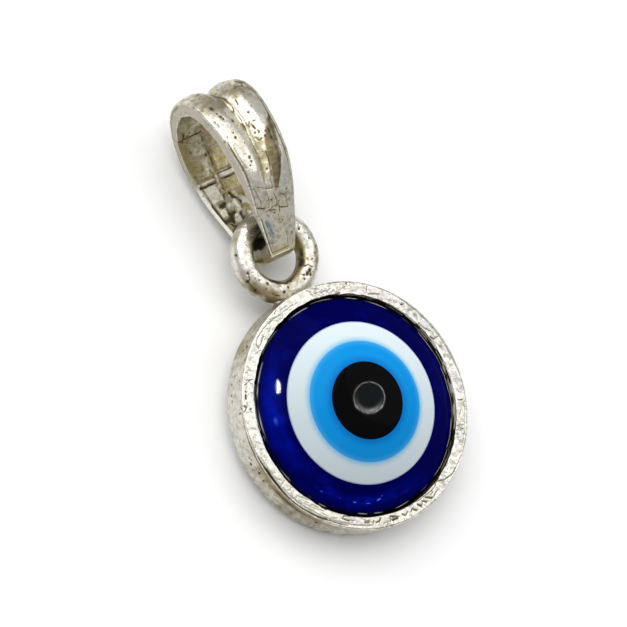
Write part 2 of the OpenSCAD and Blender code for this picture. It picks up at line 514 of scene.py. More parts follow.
@dataclass(frozen=True)
class Glass:
    """Glossy coloured glass whose tone follows the distance from the eye's middle.

    Fields: bands, rows of a radius in millimetres, the width over which the colour changes there,
    and the colour outside it; core, the colour in the middle; streak and glow, the colour of the light
    painted into the glass and how much of it shows where the glow value is set; spark, the colour of
    painted glints where that value is highest; fleck, the colour of the painted highlights along its
    edge; dim, how much darker the glass is on its far side from the light; ragged, how far the rings'
    edges wander; gloss, its roughness; shine, how strongly it mirrors.
    """

    name: str
    core: Colour
    bands: tuple[tuple[float, float, Colour], ...] = ()
    streak: Colour = (0.0, 0.0, 0.0)
    glow: float = 0.0
    spark: Colour | None = None
    fleck: Colour | None = None
    dim: float = 0.0
    ragged: float = 0.0
    gloss: float = 0.04
    shine: float = 0.03

    def material(self) -> bpy.types.Material:
        """Builds the finish: smooth rings of colour, painted light, glints and edge highlights, and a
        faint waviness.

        Returns:
            The material.
        """
        board = Board(self.name)
        where = board.place()
        radius = board.value("radius") + (board.noise(where, 1.6, 1.0) - 0.5) * 0.06
        radius = radius + (board.noise(where, 0.22, 2.0) - 0.5) * self.ragged
        colour: Any = rgba(self.core)
        for at, width, tint in self.bands:
            step = radius.step(at - width / 2, at + width / 2)
            colour = board.mix(step, colour, tint)
        # Painted light: the glass's brighter colour where its value is high
        if self.glow:
            drift = board.noise(where, 0.7, 3.0, 0.6).step(0.3, 0.75)
            share = board.value("glow") * (0.45 + drift * 0.55) * self.glow
            colour = board.mix(share, colour, self.streak)
        # Painted glints where that value is highest
        if self.spark:
            colour = board.mix(board.value("glow").step(0.82, 1.0), colour, self.spark)
        # Painted highlights along the glass's edge
        if self.fleck:
            colour = board.mix(board.value("fleck"), colour, self.fleck)
        if self.dim:
            colour = board.mix(board.value("away") * self.dim, colour, (0.0, 0.0, 0.0))
        wave = board.noise(where, 0.9, 1.0)
        values = {
            "Base Color": colour,
            "Roughness": self.gloss,
            "IOR": 1.45,
            "Specular IOR Level": self.shine,
            "Normal": board.bumped(wave, 0.01, 0.25),
        }
        return board.surface(values)


class CupMap:
    """Where each point of the cup's plain surface lies.

    Its grids: angle, degrees round the cup; r and z, radius and height; outward, millimetres from
    the rim's middle line; rim, wall and inside, masks of zones; flat, 1 on the rim's flat top.
    """

    def __init__(self, angle: np.ndarray, rows: np.ndarray, zones: np.ndarray, middle: float,
                 height: float) -> None:
        """Works the grids out.

        Args:
            angle: degrees of each turn, as a column.
            rows: radius and height of each point of the profile.
            zones: the zone of each.
            middle: radius of the rim's middle line.
            height: the rim's height.
        """
        self.angle = angle
        self.r, self.z = rows.T
        self.outward = self.r - middle
        self.rim, self.wall, self.inside = (
            zones == zone.value for zone in (Zone.RIM, Zone.WALL, Zone.INSIDE)
        )
        self.flat = self.rim * ramp(self.z, height - 0.06, height - 0.01)


@dataclass
class Setting:
    """The round cup with its chiselled rim, the soldered ring, and the solder between them.

    Sizes are those of the part's source; the tables are tooling marks.
    """

    radius: float = 7.0
    height: float = 2.2
    rim: float = 0.77
    floor: float = 0.5
    back_round: float = 0.4
    rim_round: float = 0.08
    ring_hole: float = 2.86
    ring_wire: float = 1.28
    solder_depth: float = 0.36
    solder_size: tuple[float, float, float] = (1.28, 0.44, 0.47)
    turns: int = 1270
    ring_turns: int = 420
    wire_sides: int = 72
    solder_turns: int = 96
    solder_rows: int = 41
    # Soft marks: half width, and where their middles lie, out from the rim's middle line
    mark_width: float = 0.042
    mark_span: tuple[float, float] = (-0.22, 0.20)
    # Soiled stretches of the wall, shades in its crease, bright stretches of the rim: degrees,
    # spread in degrees, strength
    wall_stains: Table = ((-153, 30, 1.9), (-110, 30, 0.6), (122, 24, 2.0))
    crease_shades: Table = ((-156, 11, 0.40), (-143, 26, 0.20))
    rim_shine: Table = ((170, 85, 0.6), (-8, 60, 0.55))
    # Soft chisel marks on the rim: from and to in degrees, count, lean, spread, length, depth
    marks: Table = (
        (-50, 78, 100, 26, 26, 0.36, 0.009),
        (-92, -50, 20, 62, 16, 0.26, 0.015),
        (-150, -92, 16, 8, 12, 0.62, 0.018),
        (-215, -150, 26, 4, 60, 0.16, 0.018),
        (78, 145, 22, 9, 26, 0.44, 0.018),
    )
    # Scores on the rim: degrees and distance from the middle line at each end, width, depth
    scores: Table = (
        (88, 0.34, 45, 0.33, 0.028, 0.042),
        (45, 0.33, 30, 0.23, 0.028, 0.036),
        (30, 0.23, 5, 0.23, 0.028, 0.032),
        (5, 0.23, -10, 0.31, 0.028, 0.036),
        (-10, 0.31, -42, 0.35, 0.028, 0.040),
        (-20, 0.19, -40, 0.22, 0.028, 0.024),
        (-46, 0.33, -56, 0.22, 0.028, 0.052),
        (-56, 0.22, -61, 0.00, 0.031, 0.056),
        (-61, 0.00, -64, -0.28, 0.034, 0.056),
        (-63, -0.33, -66, -0.28, 0.063, 0.060),
        (-66, -0.20, -74, -0.22, 0.028, 0.050),
        (-74, -0.22, -82, -0.38, 0.028, 0.050),
        (-72, 0.34, -99, 0.33, 0.028, 0.044),
        (-68, 0.05, -70.5, 0.12, 0.056, 0.044),
        (-70, -0.10, -72, -0.05, 0.042, 0.040),
        (-72.5, 0.12, -75, -0.15, 0.048, 0.064),
        (-76, 0.10, -77.5, -0.10, 0.039, 0.064),
        (-77.5, -0.10, -79, 0.05, 0.036, 0.060),
        (-79.5, 0.10, -81, -0.12, 0.042, 0.070),
        (-83, 0.12, -84.5, -0.05, 0.039, 0.062),
        (-84.5, -0.10, -86, 0.00, 0.036, 0.060),
        (-88, -0.05, -89.5, 0.08, 0.036, 0.060),
        (-89.5, 0.08, -91, -0.08, 0.034, 0.062),
        (-93.5, -0.02, -97.5, -0.20, 0.036, 0.066),
        (-94, 0.02, -97, 0.03, 0.050, 0.076),
        (-97.8, -0.20, -98.3, 0.12, 0.031, 0.056),
        (-103.5, -0.20, -104.5, -0.05, 0.042, 0.080),
        (-104.5, -0.08, -106, -0.04, 0.036, 0.066),
        (-107.5, -0.10, -107.8, 0.02, 0.034, 0.066),
        (-110, -0.14, -110, 0.00, 0.031, 0.070),
        (-111, -0.14, -111, 0.00, 0.031, 0.070),
        (-112, -0.12, -112, 0.00, 0.031, 0.066),
        (-109.8, -0.07, -112.2, -0.07, 0.031, 0.060),
        (-120, -0.36, -123.5, -0.30, 0.028, 0.044),
        (-123.5, -0.30, -124.5, -0.12, 0.028, 0.054),
        (-124.5, -0.12, -121, -0.08, 0.028, 0.054),
        (-121, -0.08, -118, -0.12, 0.028, 0.040),
        (-108, 0.12, -125, 0.10, 0.028, 0.036),
        (-125, 0.10, -155, 0.17, 0.028, 0.034),
        (-99, 0.33, -145, 0.34, 0.028, 0.040),
        (-134, -0.34, -137, -0.33, 0.039, 0.070),
        (-155, 0.16, -166, 0.10, 0.028, 0.030),
        (-166, 0.10, -176, 0.20, 0.028, 0.026),
        (-199.5, -0.14, -199.5, -0.05, 0.031, 0.074),
        (-198.5, 0.25, -200.5, 0.12, 0.028, 0.062),
        (-200.5, 0.12, -201, 0.30, 0.028, 0.062),
        (-204.5, 0.12, -206, 0.15, 0.048, 0.080),
        (-207.5, 0.09, -208, 0.16, 0.031, 0.066),
        (-209.5, 0.05, -211, 0.06, 0.042, 0.030),
        (-214, -0.15, -213.2, -0.02, 0.028, 0.056),
        (-212, 0.05, -211, 0.20, 0.028, 0.044),
        (-230.5, -0.10, -233, -0.14, 0.031, 0.050),
        (-233, -0.14, -237, -0.08, 0.034, 0.054),
        (-230.8, -0.05, -231.5, 0.10, 0.028, 0.040),
        (-231.5, 0.10, -235, 0.20, 0.028, 0.050),
        (-235, 0.20, -239.5, 0.16, 0.028, 0.050),
        (-239.5, 0.20, -246, 0.08, 0.028, 0.044),
        (-246, 0.08, -252, -0.03, 0.028, 0.042),
        (-252, -0.03, -257, -0.10, 0.028, 0.036),
        (-241.5, -0.20, -243, -0.12, 0.048, 0.036),
        (-250, 0.20, -251.5, 0.30, 0.039, 0.036),
        (83, -0.20, 80, -0.10, 0.048, 0.026),
        (79.5, -0.20, 77, -0.02, 0.048, 0.028),
        (74.5, -0.36, 72, -0.30, 0.039, 0.066),
        (72, -0.15, 69, 0.00, 0.048, 0.026),
        (57, -0.05, 57, 0.20, 0.028, 0.040),
        (56, -0.20, 53, -0.10, 0.036, 0.030),
        (53, -0.10, 50, -0.02, 0.036, 0.030),
        (38, -0.02, 36.5, 0.10, 0.028, 0.060),
        (25, -0.25, 21, -0.22, 0.034, 0.034),
        (21, -0.22, 18, -0.05, 0.034, 0.034),
        (16, -0.28, 14, -0.20, 0.034, 0.050),
        (14, -0.20, 13.5, 0.10, 0.028, 0.040),
        (-19, -0.20, -19, 0.12, 0.028, 0.034),
        (-24, -0.05, -27, -0.10, 0.036, 0.040),
        (-32, -0.25, -31, 0.15, 0.028, 0.034),
        (-33.5, -0.05, -33, 0.15, 0.028, 0.034),
        (-191, 0.37, -177, 0.36, 0.030, 0.050),
        (-177, 0.36, -170, 0.24, 0.050, 0.095),
        (-170, 0.24, -160, 0.30, 0.075, 0.120),
        (-160, 0.30, -153, 0.37, 0.070, 0.115),
        (-153, 0.37, -144, 0.32, 0.045, 0.090),
        (-144, 0.32, -132, 0.20, 0.040, 0.080),
        (-132, 0.20, -121, 0.17, 0.028, 0.050),
        (-144, 0.28, -132, 0.15, 0.028, 0.050),
        (-172, 0.36, -156, 0.33, 0.050, 0.060),
    )
    # Pocks in the wall: degrees, height, radius
    pocks: Table = (
        (-170, 1.45, 0.09), (-166, 1.35, 0.06), (-163, 1.50, 0.05), (-178, 1.25, 0.06),
        (-177, 1.40, 0.05), (-186, 1.35, 0.05), (-200, 1.95, 0.05), (-198.5, 1.75, 0.06),
        (-213.5, 1.75, 0.05), (-230, 1.60, 0.08), (-231, 1.45, 0.06), (-229, 1.30, 0.06),
        (-223, 1.90, 0.04), (-226, 1.95, 0.04), (-205, 0.90, 0.06), (-208, 0.85, 0.06),
        (-213, 0.80, 0.05), (-217, 1.10, 0.04), (-228, 0.95, 0.05),
    )
    # Pits in the ring: degrees round the ring, degrees round its section, radius
    ring_pits: Table = (
        (160.5, 37, 0.10), (187.5, 64, 0.07), (196, 39, 0.09), (211, 36, 0.06), (251, 82, 0.08),
        (25, 99, 0.09), (3, 84, 0.06), (340, 75, 0.05), (311, 93, 0.11), (305, 99, 0.11),
        (298, 111, 0.07), (294, 96, 0.06), (306, 81, 0.07), (259, 124, 0.06), (269, 132, 0.07),
        (259, 100, 0.06), (190, 90, 0.04), (222, 70, 0.04), (330, 95, 0.05), (350, 60, 0.05),
    )
    # Fine cracks in the ring: degrees round the ring and its section at each end, width, depth
    ring_cracks: Table = (
        (-45, 129, -40, 112, 0.030, 0.030),
        (-40, 112, -41, 84, 0.026, 0.030),
        (-49, 93, -54, 81, 0.040, 0.030),
        (-62, 112, -58, 96, 0.030, 0.024),
        (197, 49, 187, 66, 0.026, 0.030),
        (206, 40, 196, 38, 0.024, 0.026),
        (232, 66, 244, 60, 0.022, 0.020),
        (183, 117, 198, 123, 0.026, 0.022),
        (198, 123, 220, 127, 0.034, 0.028),
        (220, 127, 243, 129, 0.036, 0.032),
        (243, 129, 261, 130, 0.044, 0.036),
        (261, 130, 283, 150, 0.044, 0.034),
        (283, 150, 299, 154, 0.036, 0.030),
    )
    # Stains on the ring: degrees round the ring and its section, spread of each, strength, warmth
    ring_stains: Table = (
        (224, 60, 20, 26, 0.52, 0.30),
        (137, 33, 10, 20, 0.40, 0.00),
        (146, 146, 22, 30, 0.95, 0.30),
        (350, 146, 26, 22, 0.42, 0.60),
        (318, 150, 16, 26, 0.55, 0.20),
        (197, 40, 22, 24, 0.34, 0.15),
        (300, 92, 16, 22, 0.16, 0.05),
        (268, 116, 14, 24, 0.35, 0.10),
        (5, 54, 36, 22, 0.40, 0.05),
        (332, 66, 20, 26, 0.42, 0.05),
        (324, 92, 14, 18, 0.22, 0.00),
        (135, 100, 16, 18, 0.10, 0.40),
    )

    @property
    def ring_y(self) -> float:
        """Height of the ring's centre over the cup's centre."""
        return self.radius + self.ring_hole / 2 + self.ring_wire - self.solder_depth

    def profile(self) -> tuple[np.ndarray, np.ndarray]:
        """The cup's half section from the middle of its back, out and up, and down to its floor.

        The rows are closest where they show: on the wall, the rim and the upper 0.4 mm of the inside.

        Returns:
            Rows of radius and height, and the zone of each.
        """
        inner = self.radius - self.rim
        corner = np.radians(np.linspace(-90, 0, 7))[1:]
        lip = np.radians(np.linspace(0, 90, 5))
        edge, soft = self.back_round, self.rim_round
        stretches = [
            (Zone.BACK, line((0, 0), (self.radius - edge, 0), 3)),
            (Zone.WALL, arc((self.radius - edge, edge), edge, corner)),
            (Zone.WALL, line((self.radius, edge), (self.radius, self.height - soft), 24)[1:]),
            (Zone.RIM, arc((self.radius - soft, self.height - soft), soft, lip)[1:]),
            (Zone.RIM, line((self.radius - soft, self.height), (inner + 0.03, self.height), 35)[1:]),
            (Zone.INSIDE, line((inner, self.height - 0.03), (inner, self.height - 0.42), 6)),
            (Zone.INSIDE, line((inner, self.height - 0.42), (inner, self.floor), 3)[1:]),
            (Zone.INSIDE, line((inner, self.floor), (0, self.floor), 3)[1:]),
        ]
        rows = np.concatenate([points for _, points in stretches])
        zones = np.concatenate([np.full(len(points), zone.value) for zone, points in stretches])
        return rows, zones

    def chiselling(self, angle: np.ndarray, outward: np.ndarray) -> np.ndarray:
        """Soft marks and scores: at each point the deepest bell of the distance to a straight stroke.

        Angles are unrolled to lengths along the rim's middle line, for the scores from -265 degrees
        to 95, so that none of them is cut.

        Args:
            angle: degrees round the cup at each point.
            outward: millimetres from the rim's middle line.
        Returns:
            Depth in millimetres.
        """
        draw = np.random.default_rng(11)
        middle = self.radius - self.rim / 2
        depth = np.zeros(np.broadcast(angle, outward).shape)
        for start, end, count, lean, spread, length, deep in self.marks:
            spots = draw.uniform(start, end, int(count))
            sides = np.where(draw.random(int(count)) < 0.5, 1, -1)
            leans = np.radians(sides * lean + draw.normal(0, spread, int(count)))
            offsets = draw.uniform(*self.mark_span, int(count))
            lengths = length * draw.uniform(0.5, 1.3, int(count))
            for spot, tilt, offset, span in zip(spots, leans, offsets, lengths):
                along = np.radians(turned(angle, spot)) * middle
                beside = outward - offset
                run = along * math.cos(tilt) + beside * math.sin(tilt)
                off = beside * math.cos(tilt) - along * math.sin(tilt)
                past = np.maximum(np.abs(run) - span / 2, 0)
                depth = np.maximum(depth, deep * bump(np.hypot(off, past), self.mark_width))
        round_rim = np.radians(turned(angle, -85) - 85) * middle
        for start, first, end, last, width, deep in self.scores:
            ends = (math.radians(start) * middle, first, math.radians(end) * middle, last)
            depth = np.maximum(depth, deep * stroke(round_rim, outward, ends, width))
        return depth

    def cup(self) -> Skin:
        """The cup: its profile turned round the eye's axis, then tooled, pitted and worn.

        A point moves along the profile's normal by its unevenness less the depth of cuts and pits,
        and the rim's inner edge moves outwards by a noise, which makes it ragged.

        Returns:
            The cup's surface.
        """
        rows, zones = self.profile()
        angle = np.linspace(0, 360, self.turns, endpoint=False)
        slope = np.gradient(rows, axis=0)
        normals = revolved(angle, unit(np.stack([slope[:, 1], -slope[:, 0]], -1)))
        points = revolved(angle, rows)
        at = CupMap(angle[:, None], rows, zones, self.radius - self.rim / 2, self.height)
        grain = Grain(3)
        cuts = np.zeros(points.shape[:2])
        wander = grain.at(points[:, at.rim], 0.6) * 0.018 + grain.at(points[:, at.rim], 0.2) * 0.014
        cuts[:, at.rim] = self.chiselling(at.angle, at.outward[at.rim] + wander) * at.flat[at.rim]
        pits = self.wall_pits(at, points, grain)
        worn = (at.wall | at.rim) * grain.worn(points, (0.7, 0.012), (0.22, 0.006))
        edge = bump(at.r - self.radius + self.rim, 0.05) * ramp(at.z, self.height - 0.2, self.height)
        waver = (grain.at(points, 0.42) + 0.6 * grain.at(points, 0.16) + 1.2) * 0.028 * edge
        around = revolved(angle, np.array([(1.0, 0.0)]))
        points = points + around * waver[..., None] + normals * (worn - cuts - pits * 0.04)[..., None]
        values = self.cup_looks(at, points, cuts, pits, grain)
        return Skin("cup", points, Joining.POLES, values, crease=70)

    def wall_pits(self, at: CupMap, points: np.ndarray, grain: Grain) -> np.ndarray:
        """Casting pits in the cup's wall: a scatter of small ones, and the pocks of the table.

        Args:
            at: where each point lies.
            points: the plain surface.
            grain: noise that roughens the pits' outlines.
        Returns:
            Depth from 0 to 1.
        """
        rough = points + grain.at(points, 0.12)[..., None] * 0.03
        mask = np.broadcast_to(at.wall & (at.z > 0.1), points.shape[:2])
        bearings, heights, sizes = np.array(self.pocks).T
        centres = np.column_stack([arc((0, 0), self.radius, np.radians(bearings)), heights])
        small = pitted(rough, *scattered(points, mask, 50, 5))
        return np.maximum(small, pitted(rough, centres, sizes)) * at.wall

    def cup_looks(self, at: CupMap, points: np.ndarray, cuts: np.ndarray, pits: np.ndarray,
                  grain: Grain) -> dict[str, np.ndarray]:
        """The cup's wear and painted shade: dark cuts and pits, a soiled wall, painted brown shade in
        the wall's crease, and a black inside that is painted shade, with painted glints near its top.

        One stretch of the rim, the lane, is mottled and bluish, and the one opposite is gilt.

        Args:
            at: where each point lies.
            points: the finished surface.
            cuts: depth of the rim's marks in millimetres.
            pits: depth of the wall's pits from 0 to 1.
            grain: noise that breaks the patches up.
        Returns:
            The values that the silver's finish reads.
        """
        streaks = grain.at(points * (1, 1, 0.2), 0.5) + 0.6 * grain.at(points * (1, 1, 0.3), 0.22)
        wall = at.wall * (0.15 + 0.05 * streaks) * (1 + bells(at.angle, self.wall_stains))
        trace = at.wall * bump(at.z - 1.99, 0.05) * near(at.angle, -181, 13) * 0.8
        # Painted shade along the wall's crease, which also warms its tone
        crease = at.wall * bump(at.z - 1.74, 0.20) * bells(at.angle, self.crease_shades)
        join = bump(np.hypot(points[..., 0], points[..., 1] - self.radius), 1.3) * at.wall * 0.45
        lane = at.flat * near(at.angle, 12, 62) * (0.35 + 0.65 * bump(at.outward - 0.04, 0.26))
        mottle = lane * ramp(grain.at(points, 0.17), -0.556, 0.556) * 0.34
        # Painted glints in the black gap: pale specks near the top of the inside
        shallow = at.inside * ramp(at.z, self.height - 0.45, self.height - 0.33) * near(at.angle, 10, 75)
        gap_glints = shallow * ramp(grain.over(at.angle / 6, at.z * 11), 0.12, 0.32)
        soiled = np.clip(cuts / 0.080 + pits * 0.9 + wall + trace + crease + mottle, 0, 1)
        clean = np.maximum(0.10 + bells(at.angle, self.rim_shine), ramp(at.outward, -0.27, -0.32))
        gilt = at.flat * near(at.angle, -125, 46) * ramp(grain.at(points, 0.22), -0.4, 0.6) * 0.24
        # The inside is painted near black as the shade of the gap round the glass
        return {
            "tarnish": np.maximum(np.where(at.inside, 1 - gap_glints, soiled), join),
            "polish": np.where(at.wall, 0.7, at.flat * clean),
            "warm": gilt + crease,
            "pale": gap_glints,
            "cool": lane * ramp(grain.at(points, 0.26), -0.5, 0.5) * 0.26,
        }

    def ring(self) -> Skin:
        """The ring: a wire section, round outside and squarer inside, carried round a circle.

        In units of the wire's radius the section is |x|^2p + |y|^2p = 1, where p is 1 on its outer half
        and 1.55 on its inner one. Unevenness, pits and cracks then sink the surface. The cracks are
        strokes on the wire's surface unrolled from -60 to 300 degrees.

        Returns:
            The ring's surface.
        """
        radius, wire = (self.ring_hole + self.ring_wire) / 2, self.ring_wire / 2
        turn = np.linspace(0, 360, self.ring_turns, endpoint=False)
        section = np.linspace(0, 360, self.wire_sides, endpoint=False)
        outward = arc((0, 0), 1.0, np.radians(section))
        power = np.where(outward[:, 0] < 0, 1.55, 1.0)
        swell = np.sum(np.abs(outward) ** (2 * power[:, None]), axis=1) ** (-0.5 / power)
        points = revolved(turn, outward * wire * swell[:, None] + (radius, wire))
        points = points + (0, self.ring_y, 0)
        grain = Grain(8)
        rough = points + grain.at(points, 0.12)[..., None] * 0.03
        pits = pitted(rough, *scattered(points, np.ones(points.shape[:2], bool), 50, 9))
        turns, sides, sizes = np.array(self.ring_pits).T
        row = np.round(turns / 360 * self.ring_turns).astype(int) % self.ring_turns
        column = np.round(sides / 360 * self.wire_sides).astype(int) % self.wire_sides
        pits = np.maximum(pits, pitted(rough, points[row, column], sizes))
        along = np.radians(turned(turn, 120) + 120)[:, None] * radius + grain.at(points, 0.25) * 0.05
        beside = np.radians(section) * wire + grain.at(points, 0.3) * 0.05
        cracks = np.zeros(points.shape[:2])
        for *ends, width, deep in self.ring_cracks:
            way = tuple(np.radians(ends) * (radius, wire, radius, wire))
            cracks = np.maximum(cracks, deep * stroke(along, beside, way, width))
        relief = grain.worn(points, (0.8, 0.014), (0.25, 0.008)) - pits * 0.05 - cracks
        points = points + revolved(turn, outward) * relief[..., None]
        marks = np.maximum(pits, cracks * 30)
        values = self.ring_looks(turn[:, None], section, points, marks, grain)
        return Skin("ring", points, Joining.ROUND, values)

    def ring_looks(self, turn: np.ndarray, section: np.ndarray, points: np.ndarray, marks: np.ndarray,
                   grain: Grain) -> dict[str, np.ndarray]:
        """The ring's wear and painted shade: stains, brown-tinted painted shade on the wire's inner
        side, painted shade on its outer side, and painted shade where the bail covers it.

        Args:
            turn: degrees round the ring.
            section: degrees round the wire, from its outer side.
            points: the finished surface.
            marks: darkness of the pits and cracks.
            grain: noise that breaks the patches up.
        Returns:
            The values that the silver's finish reads.
        """
        inward = -np.cos(np.radians(section))
        cloud = 0.8 + 0.5 * grain.at(points, 0.3)
        dark, warm = marks, np.zeros(marks.shape)
        for at, across, wide, high, soiled, golden in self.ring_stains:
            patch = near(turn, at, wide) * near(section, across, high) * cloud
            dark, warm = dark + patch * soiled, warm + patch * golden
        # Painted shade on the wire's inner side, tinted brown
        hollow = ramp(inward, 0.42, 0.77) * (0.50 + 0.35 * grain.at(points, 0.5))
        shade = near(turn, 120, 42) * ramp(inward, 0.32, 0.72) * 0.8
        foot = near(turn, 240, 34) * 0.36 * (0.7 + 0.5 * grain.at(points, 0.4))
        # Painted shade on the wire's outer side, except round the bright stretch near 165 degrees
        clean = 1 - 0.8 * near(turn, 165, 28)
        outside = 0.30 * ramp(inward, -0.55, -0.95) * (1 + grain.at(points, 0.5)) * clean
        film = smooth(grain.at(points, 0.7)) * 0.25
        return {
            "tarnish": np.clip(dark + np.maximum(hollow, shade) + foot + outside + film, 0, 1),
            "warm": np.clip(warm + hollow * 0.75 + shade * 0.5, 0, 1),
            "polish": np.full(marks.shape, 0.55),
        }

    def solder(self) -> Skin:
        """The pool of solder: a flattened ball with a lumpy surface, sunk between ring and cup.

        Returns:
            The solder's surface.
        """
        turn = np.linspace(0, 360, self.solder_turns, endpoint=False)
        rise = np.radians(np.linspace(-90, 90, self.solder_rows))
        ball = revolved(turn, arc((0, 0), 1.0, rise))
        ball = np.sign(ball) * np.abs(ball) ** (0.8, 1.0, 0.8)
        points = ball * self.solder_size + (0, self.radius - 0.02, self.ring_wire / 2)
        grain = Grain(21).at(points, 0.35)
        points = points + unit(ball) * (grain - 0.6)[..., None] * 0.03
        return Skin("solder", points, Joining.POLES, {"tarnish": 0.38 + 0.2 * grain})

    def build(self, place: CupFrame) -> None:
        """Makes the setting's pieces, which stand for its one solid.

        Args:
            place: where the cup's frame lies.
        """
        silver = Silver("cast_silver_of_the_cup").material()
        for skin in (self.cup(), self.ring(), self.solder()):
            piece = skin.make(place, silver)
            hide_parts("setting")


@dataclass
class Eye:
    """The glass eye: a cobalt dome with white, sky blue and black layers let into it.

    Each layer meets the next face to face, and all share one dome.
    """

    radius: float = 6.17
    bottom: float = 0.52
    rise: float = 1.88
    top: float = 3.78
    white: float = 4.57
    sky: float = 3.4
    pupil: float = 2.19
    inlay: float = 0.35
    # Radius of the pupil's small round spot, where a round reflection is painted
    spot: float = 0.85
    edge_round: float = 0.1
    turns: int = 480
    dome_rows: int = 64
    layer_rows: int = 44
    # Painted glints of light in the cobalt: degrees, half length in degrees, radius, strength
    painted_glints: Table = (
        (-144.0, 0.9, 5.45, 0.80),
        (-140.5, 1.5, 5.51, 1.00),
        (-135.0, 1.6, 5.50, 0.50),
        (-128.5, 1.6, 5.50, 0.60),
        (-118.8, 1.6, 5.48, 0.85),
        (-110.3, 1.8, 5.53, 0.70),
        (-103.5, 1.6, 5.44, 0.85),
        (-101.0, 1.0, 5.25, 0.65),
        (-99.9, 1.2, 5.54, 0.60),
        (-92.2, 1.4, 5.47, 0.65),
        (-87.2, 1.2, 5.46, 0.50),
        (-83.8, 1.2, 5.51, 0.55),
        (128.0, 0.5, 5.67, 0.90),
    )
    # Where the painted highlights along the edge show as pale lines, and the dashes inside them:
    # degrees, spread, strength
    edge_highlight_spans: Table = ((90, 50, 0.30), (-25, 40, 0.7), (158, 14, 0.8))
    highlight_dash_spans: Table = ((150.5, 3, 1.0), (168, 5, 1.0))

    @property
    def ball(self) -> float:
        """Radius of the dome's sphere."""
        return (self.radius**2 + self.rise**2) / (2 * self.rise)

    def dome(self, r: np.ndarray) -> np.ndarray:
        """Height of the dome at a distance from its axis."""
        return self.top - self.ball + np.sqrt(self.ball**2 - np.asarray(r) ** 2)

    def crown(self, outer: float, inner: float, count: int) -> np.ndarray:
        """The dome's section from an outer radius in to an inner one."""
        r = np.linspace(outer, inner, count)
        return np.stack([r, self.dome(r)], -1)

    def pocket(self, outer: float) -> np.ndarray:
        """The section of a pocket in the dome: down its side, then in along its flat bottom.

        Args:
            outer: the pocket's radius.
        Returns:
            Radius and height of each point.
        """
        top = float(self.dome(outer))
        low = top - self.inlay
        side, bottom = line((outer, top), (outer, low), 5), line((outer, low), (0, low), 6)
        return np.concatenate([side[1:], bottom[1:]])

    def layer(self, name: str, outer: float, inner: float) -> Skin:
        """A layer let into the dome, with a pocket for the next layer unless inner is 0.

        Args:
            name: the piece's name.
            outer: the layer's radius.
            inner: its pocket's radius.
        Returns:
            The layer's surface.
        """
        rows = [self.pocket(outer)[::-1], self.crown(outer, inner, self.layer_rows)]
        if inner:
            rows.append(self.pocket(inner))
        return self.turned_skin(name, np.concatenate(rows))

    def turned_skin(self, name: str, rows: np.ndarray) -> Skin:
        """Turns a section round the eye's axis, with the values that the glass reads.

        Its radius is a little larger at the left, where the painted shade at the cobalt's edge is wider,
        and away grows from 0 to 1 across the glass, towards its far side from the light.

        Args:
            name: the piece's name.
            rows: radius and height of each point of the section.
        Returns:
            The turned surface.
        """
        turn = np.linspace(0, 360, self.turns, endpoint=False)
        points = revolved(turn, rows)
        angle, r, grain = turn[:, None], rows[:, 0], Grain(17)
        towards_light = points[..., 1] * 0.87 + points[..., 0] * 0.47
        values = {
            "radius": r + 0.15 * near(angle, 178, 36) * ramp(r, 4.8, 5.2),
            "glow": self.glow(angle, r, grain),
            "fleck": self.edge_highlights(angle, r, grain),
            "away": np.clip(0.5 - towards_light / 8.8, 0, 1),
        }
        return Skin(name, points, Joining.POLES, values, crease=50)

    def glow(self, angle: np.ndarray, r: np.ndarray, grain: Grain) -> np.ndarray:
        """Painted light in the cobalt: two clouds of brighter blue, a faint veil over its whole width,
        and painted glints.

        Args:
            angle: degrees round the eye.
            r: distance from its axis.
            grain: noise that breaks the clouds up.
        Returns:
            Strength from 0 to 1.
        """
        swirl = grain.over(angle / 9, r * 2.2)
        fine = grain.over(angle / 3, r * 9, 3.0)
        # Painted light: brighter clouds at the left and low down, a faint veil, and glints
        left = near(angle, 163, 27) * bump(r - 5.35 + swirl * 0.15, 0.42)
        low = near(angle, 247, 26) * bump(r - 5.4 + swirl * 0.2, 0.3) * (0.55 + 0.5 * smooth(fine * 1.5))
        veil = 0.16 * smooth(swirl * 2) * ramp(r, 4.6, 4.9)
        glints = sum(
            near(angle, at, wide) * bump(r - out + 0.08 * swirl, 0.045) * strong
            for at, wide, out, strong in self.painted_glints
        )
        return np.clip((left + low + veil) * 0.8 + glints, 0, 1)

    def edge_highlights(self, angle: np.ndarray, r: np.ndarray, grain: Grain) -> np.ndarray:
        """Painted highlights along the dome's edge, as pale broken lines: two round it, and two dashes
        inside them.

        Args:
            angle: degrees round the eye.
            r: distance from its axis.
            grain: noise that breaks the lines up and lets them stray.
        Returns:
            Strength from 0 to 1.
        """
        speckle, stray = grain.over(angle / 8), grain.over(angle / 14, 5.0) * 0.05
        where = bells(angle, self.edge_highlight_spans)
        faint = 1 - 0.45 * near(angle, 135, 50)
        outer = ramp(where + speckle, 0.45, 0.75) * bump(r - 6.08 + stray, 0.017) * faint
        inner = ramp(where - speckle, 0.50, 0.80) * bump(r - 6.02 - stray, 0.018)
        dashes = bells(angle, self.highlight_dash_spans) * bump(r - 5.95 + stray, 0.022)
        return np.maximum.reduce([outer, inner, dashes]) * (r > 5)

    def cobalt(self) -> Skin:
        """The cobalt dome, with its girdle, rounded edges and the pocket for the white layer.

        Returns:
            The dome's surface.
        """
        edge, soft = self.top - self.rise, self.edge_round
        rows = [
            line((0, self.bottom), (self.radius - soft, self.bottom), 6),
            arc((self.radius - soft, self.bottom + soft), soft, np.radians(np.linspace(-90, 0, 6))),
            arc((self.radius - soft, edge - soft * 0.6), soft, np.radians(np.linspace(0, 50, 6))),
            self.crown(self.radius - soft * 0.4, self.white, self.dome_rows),
            self.pocket(self.white),
        ]
        return self.turned_skin("cobalt_dome", np.concatenate(rows))

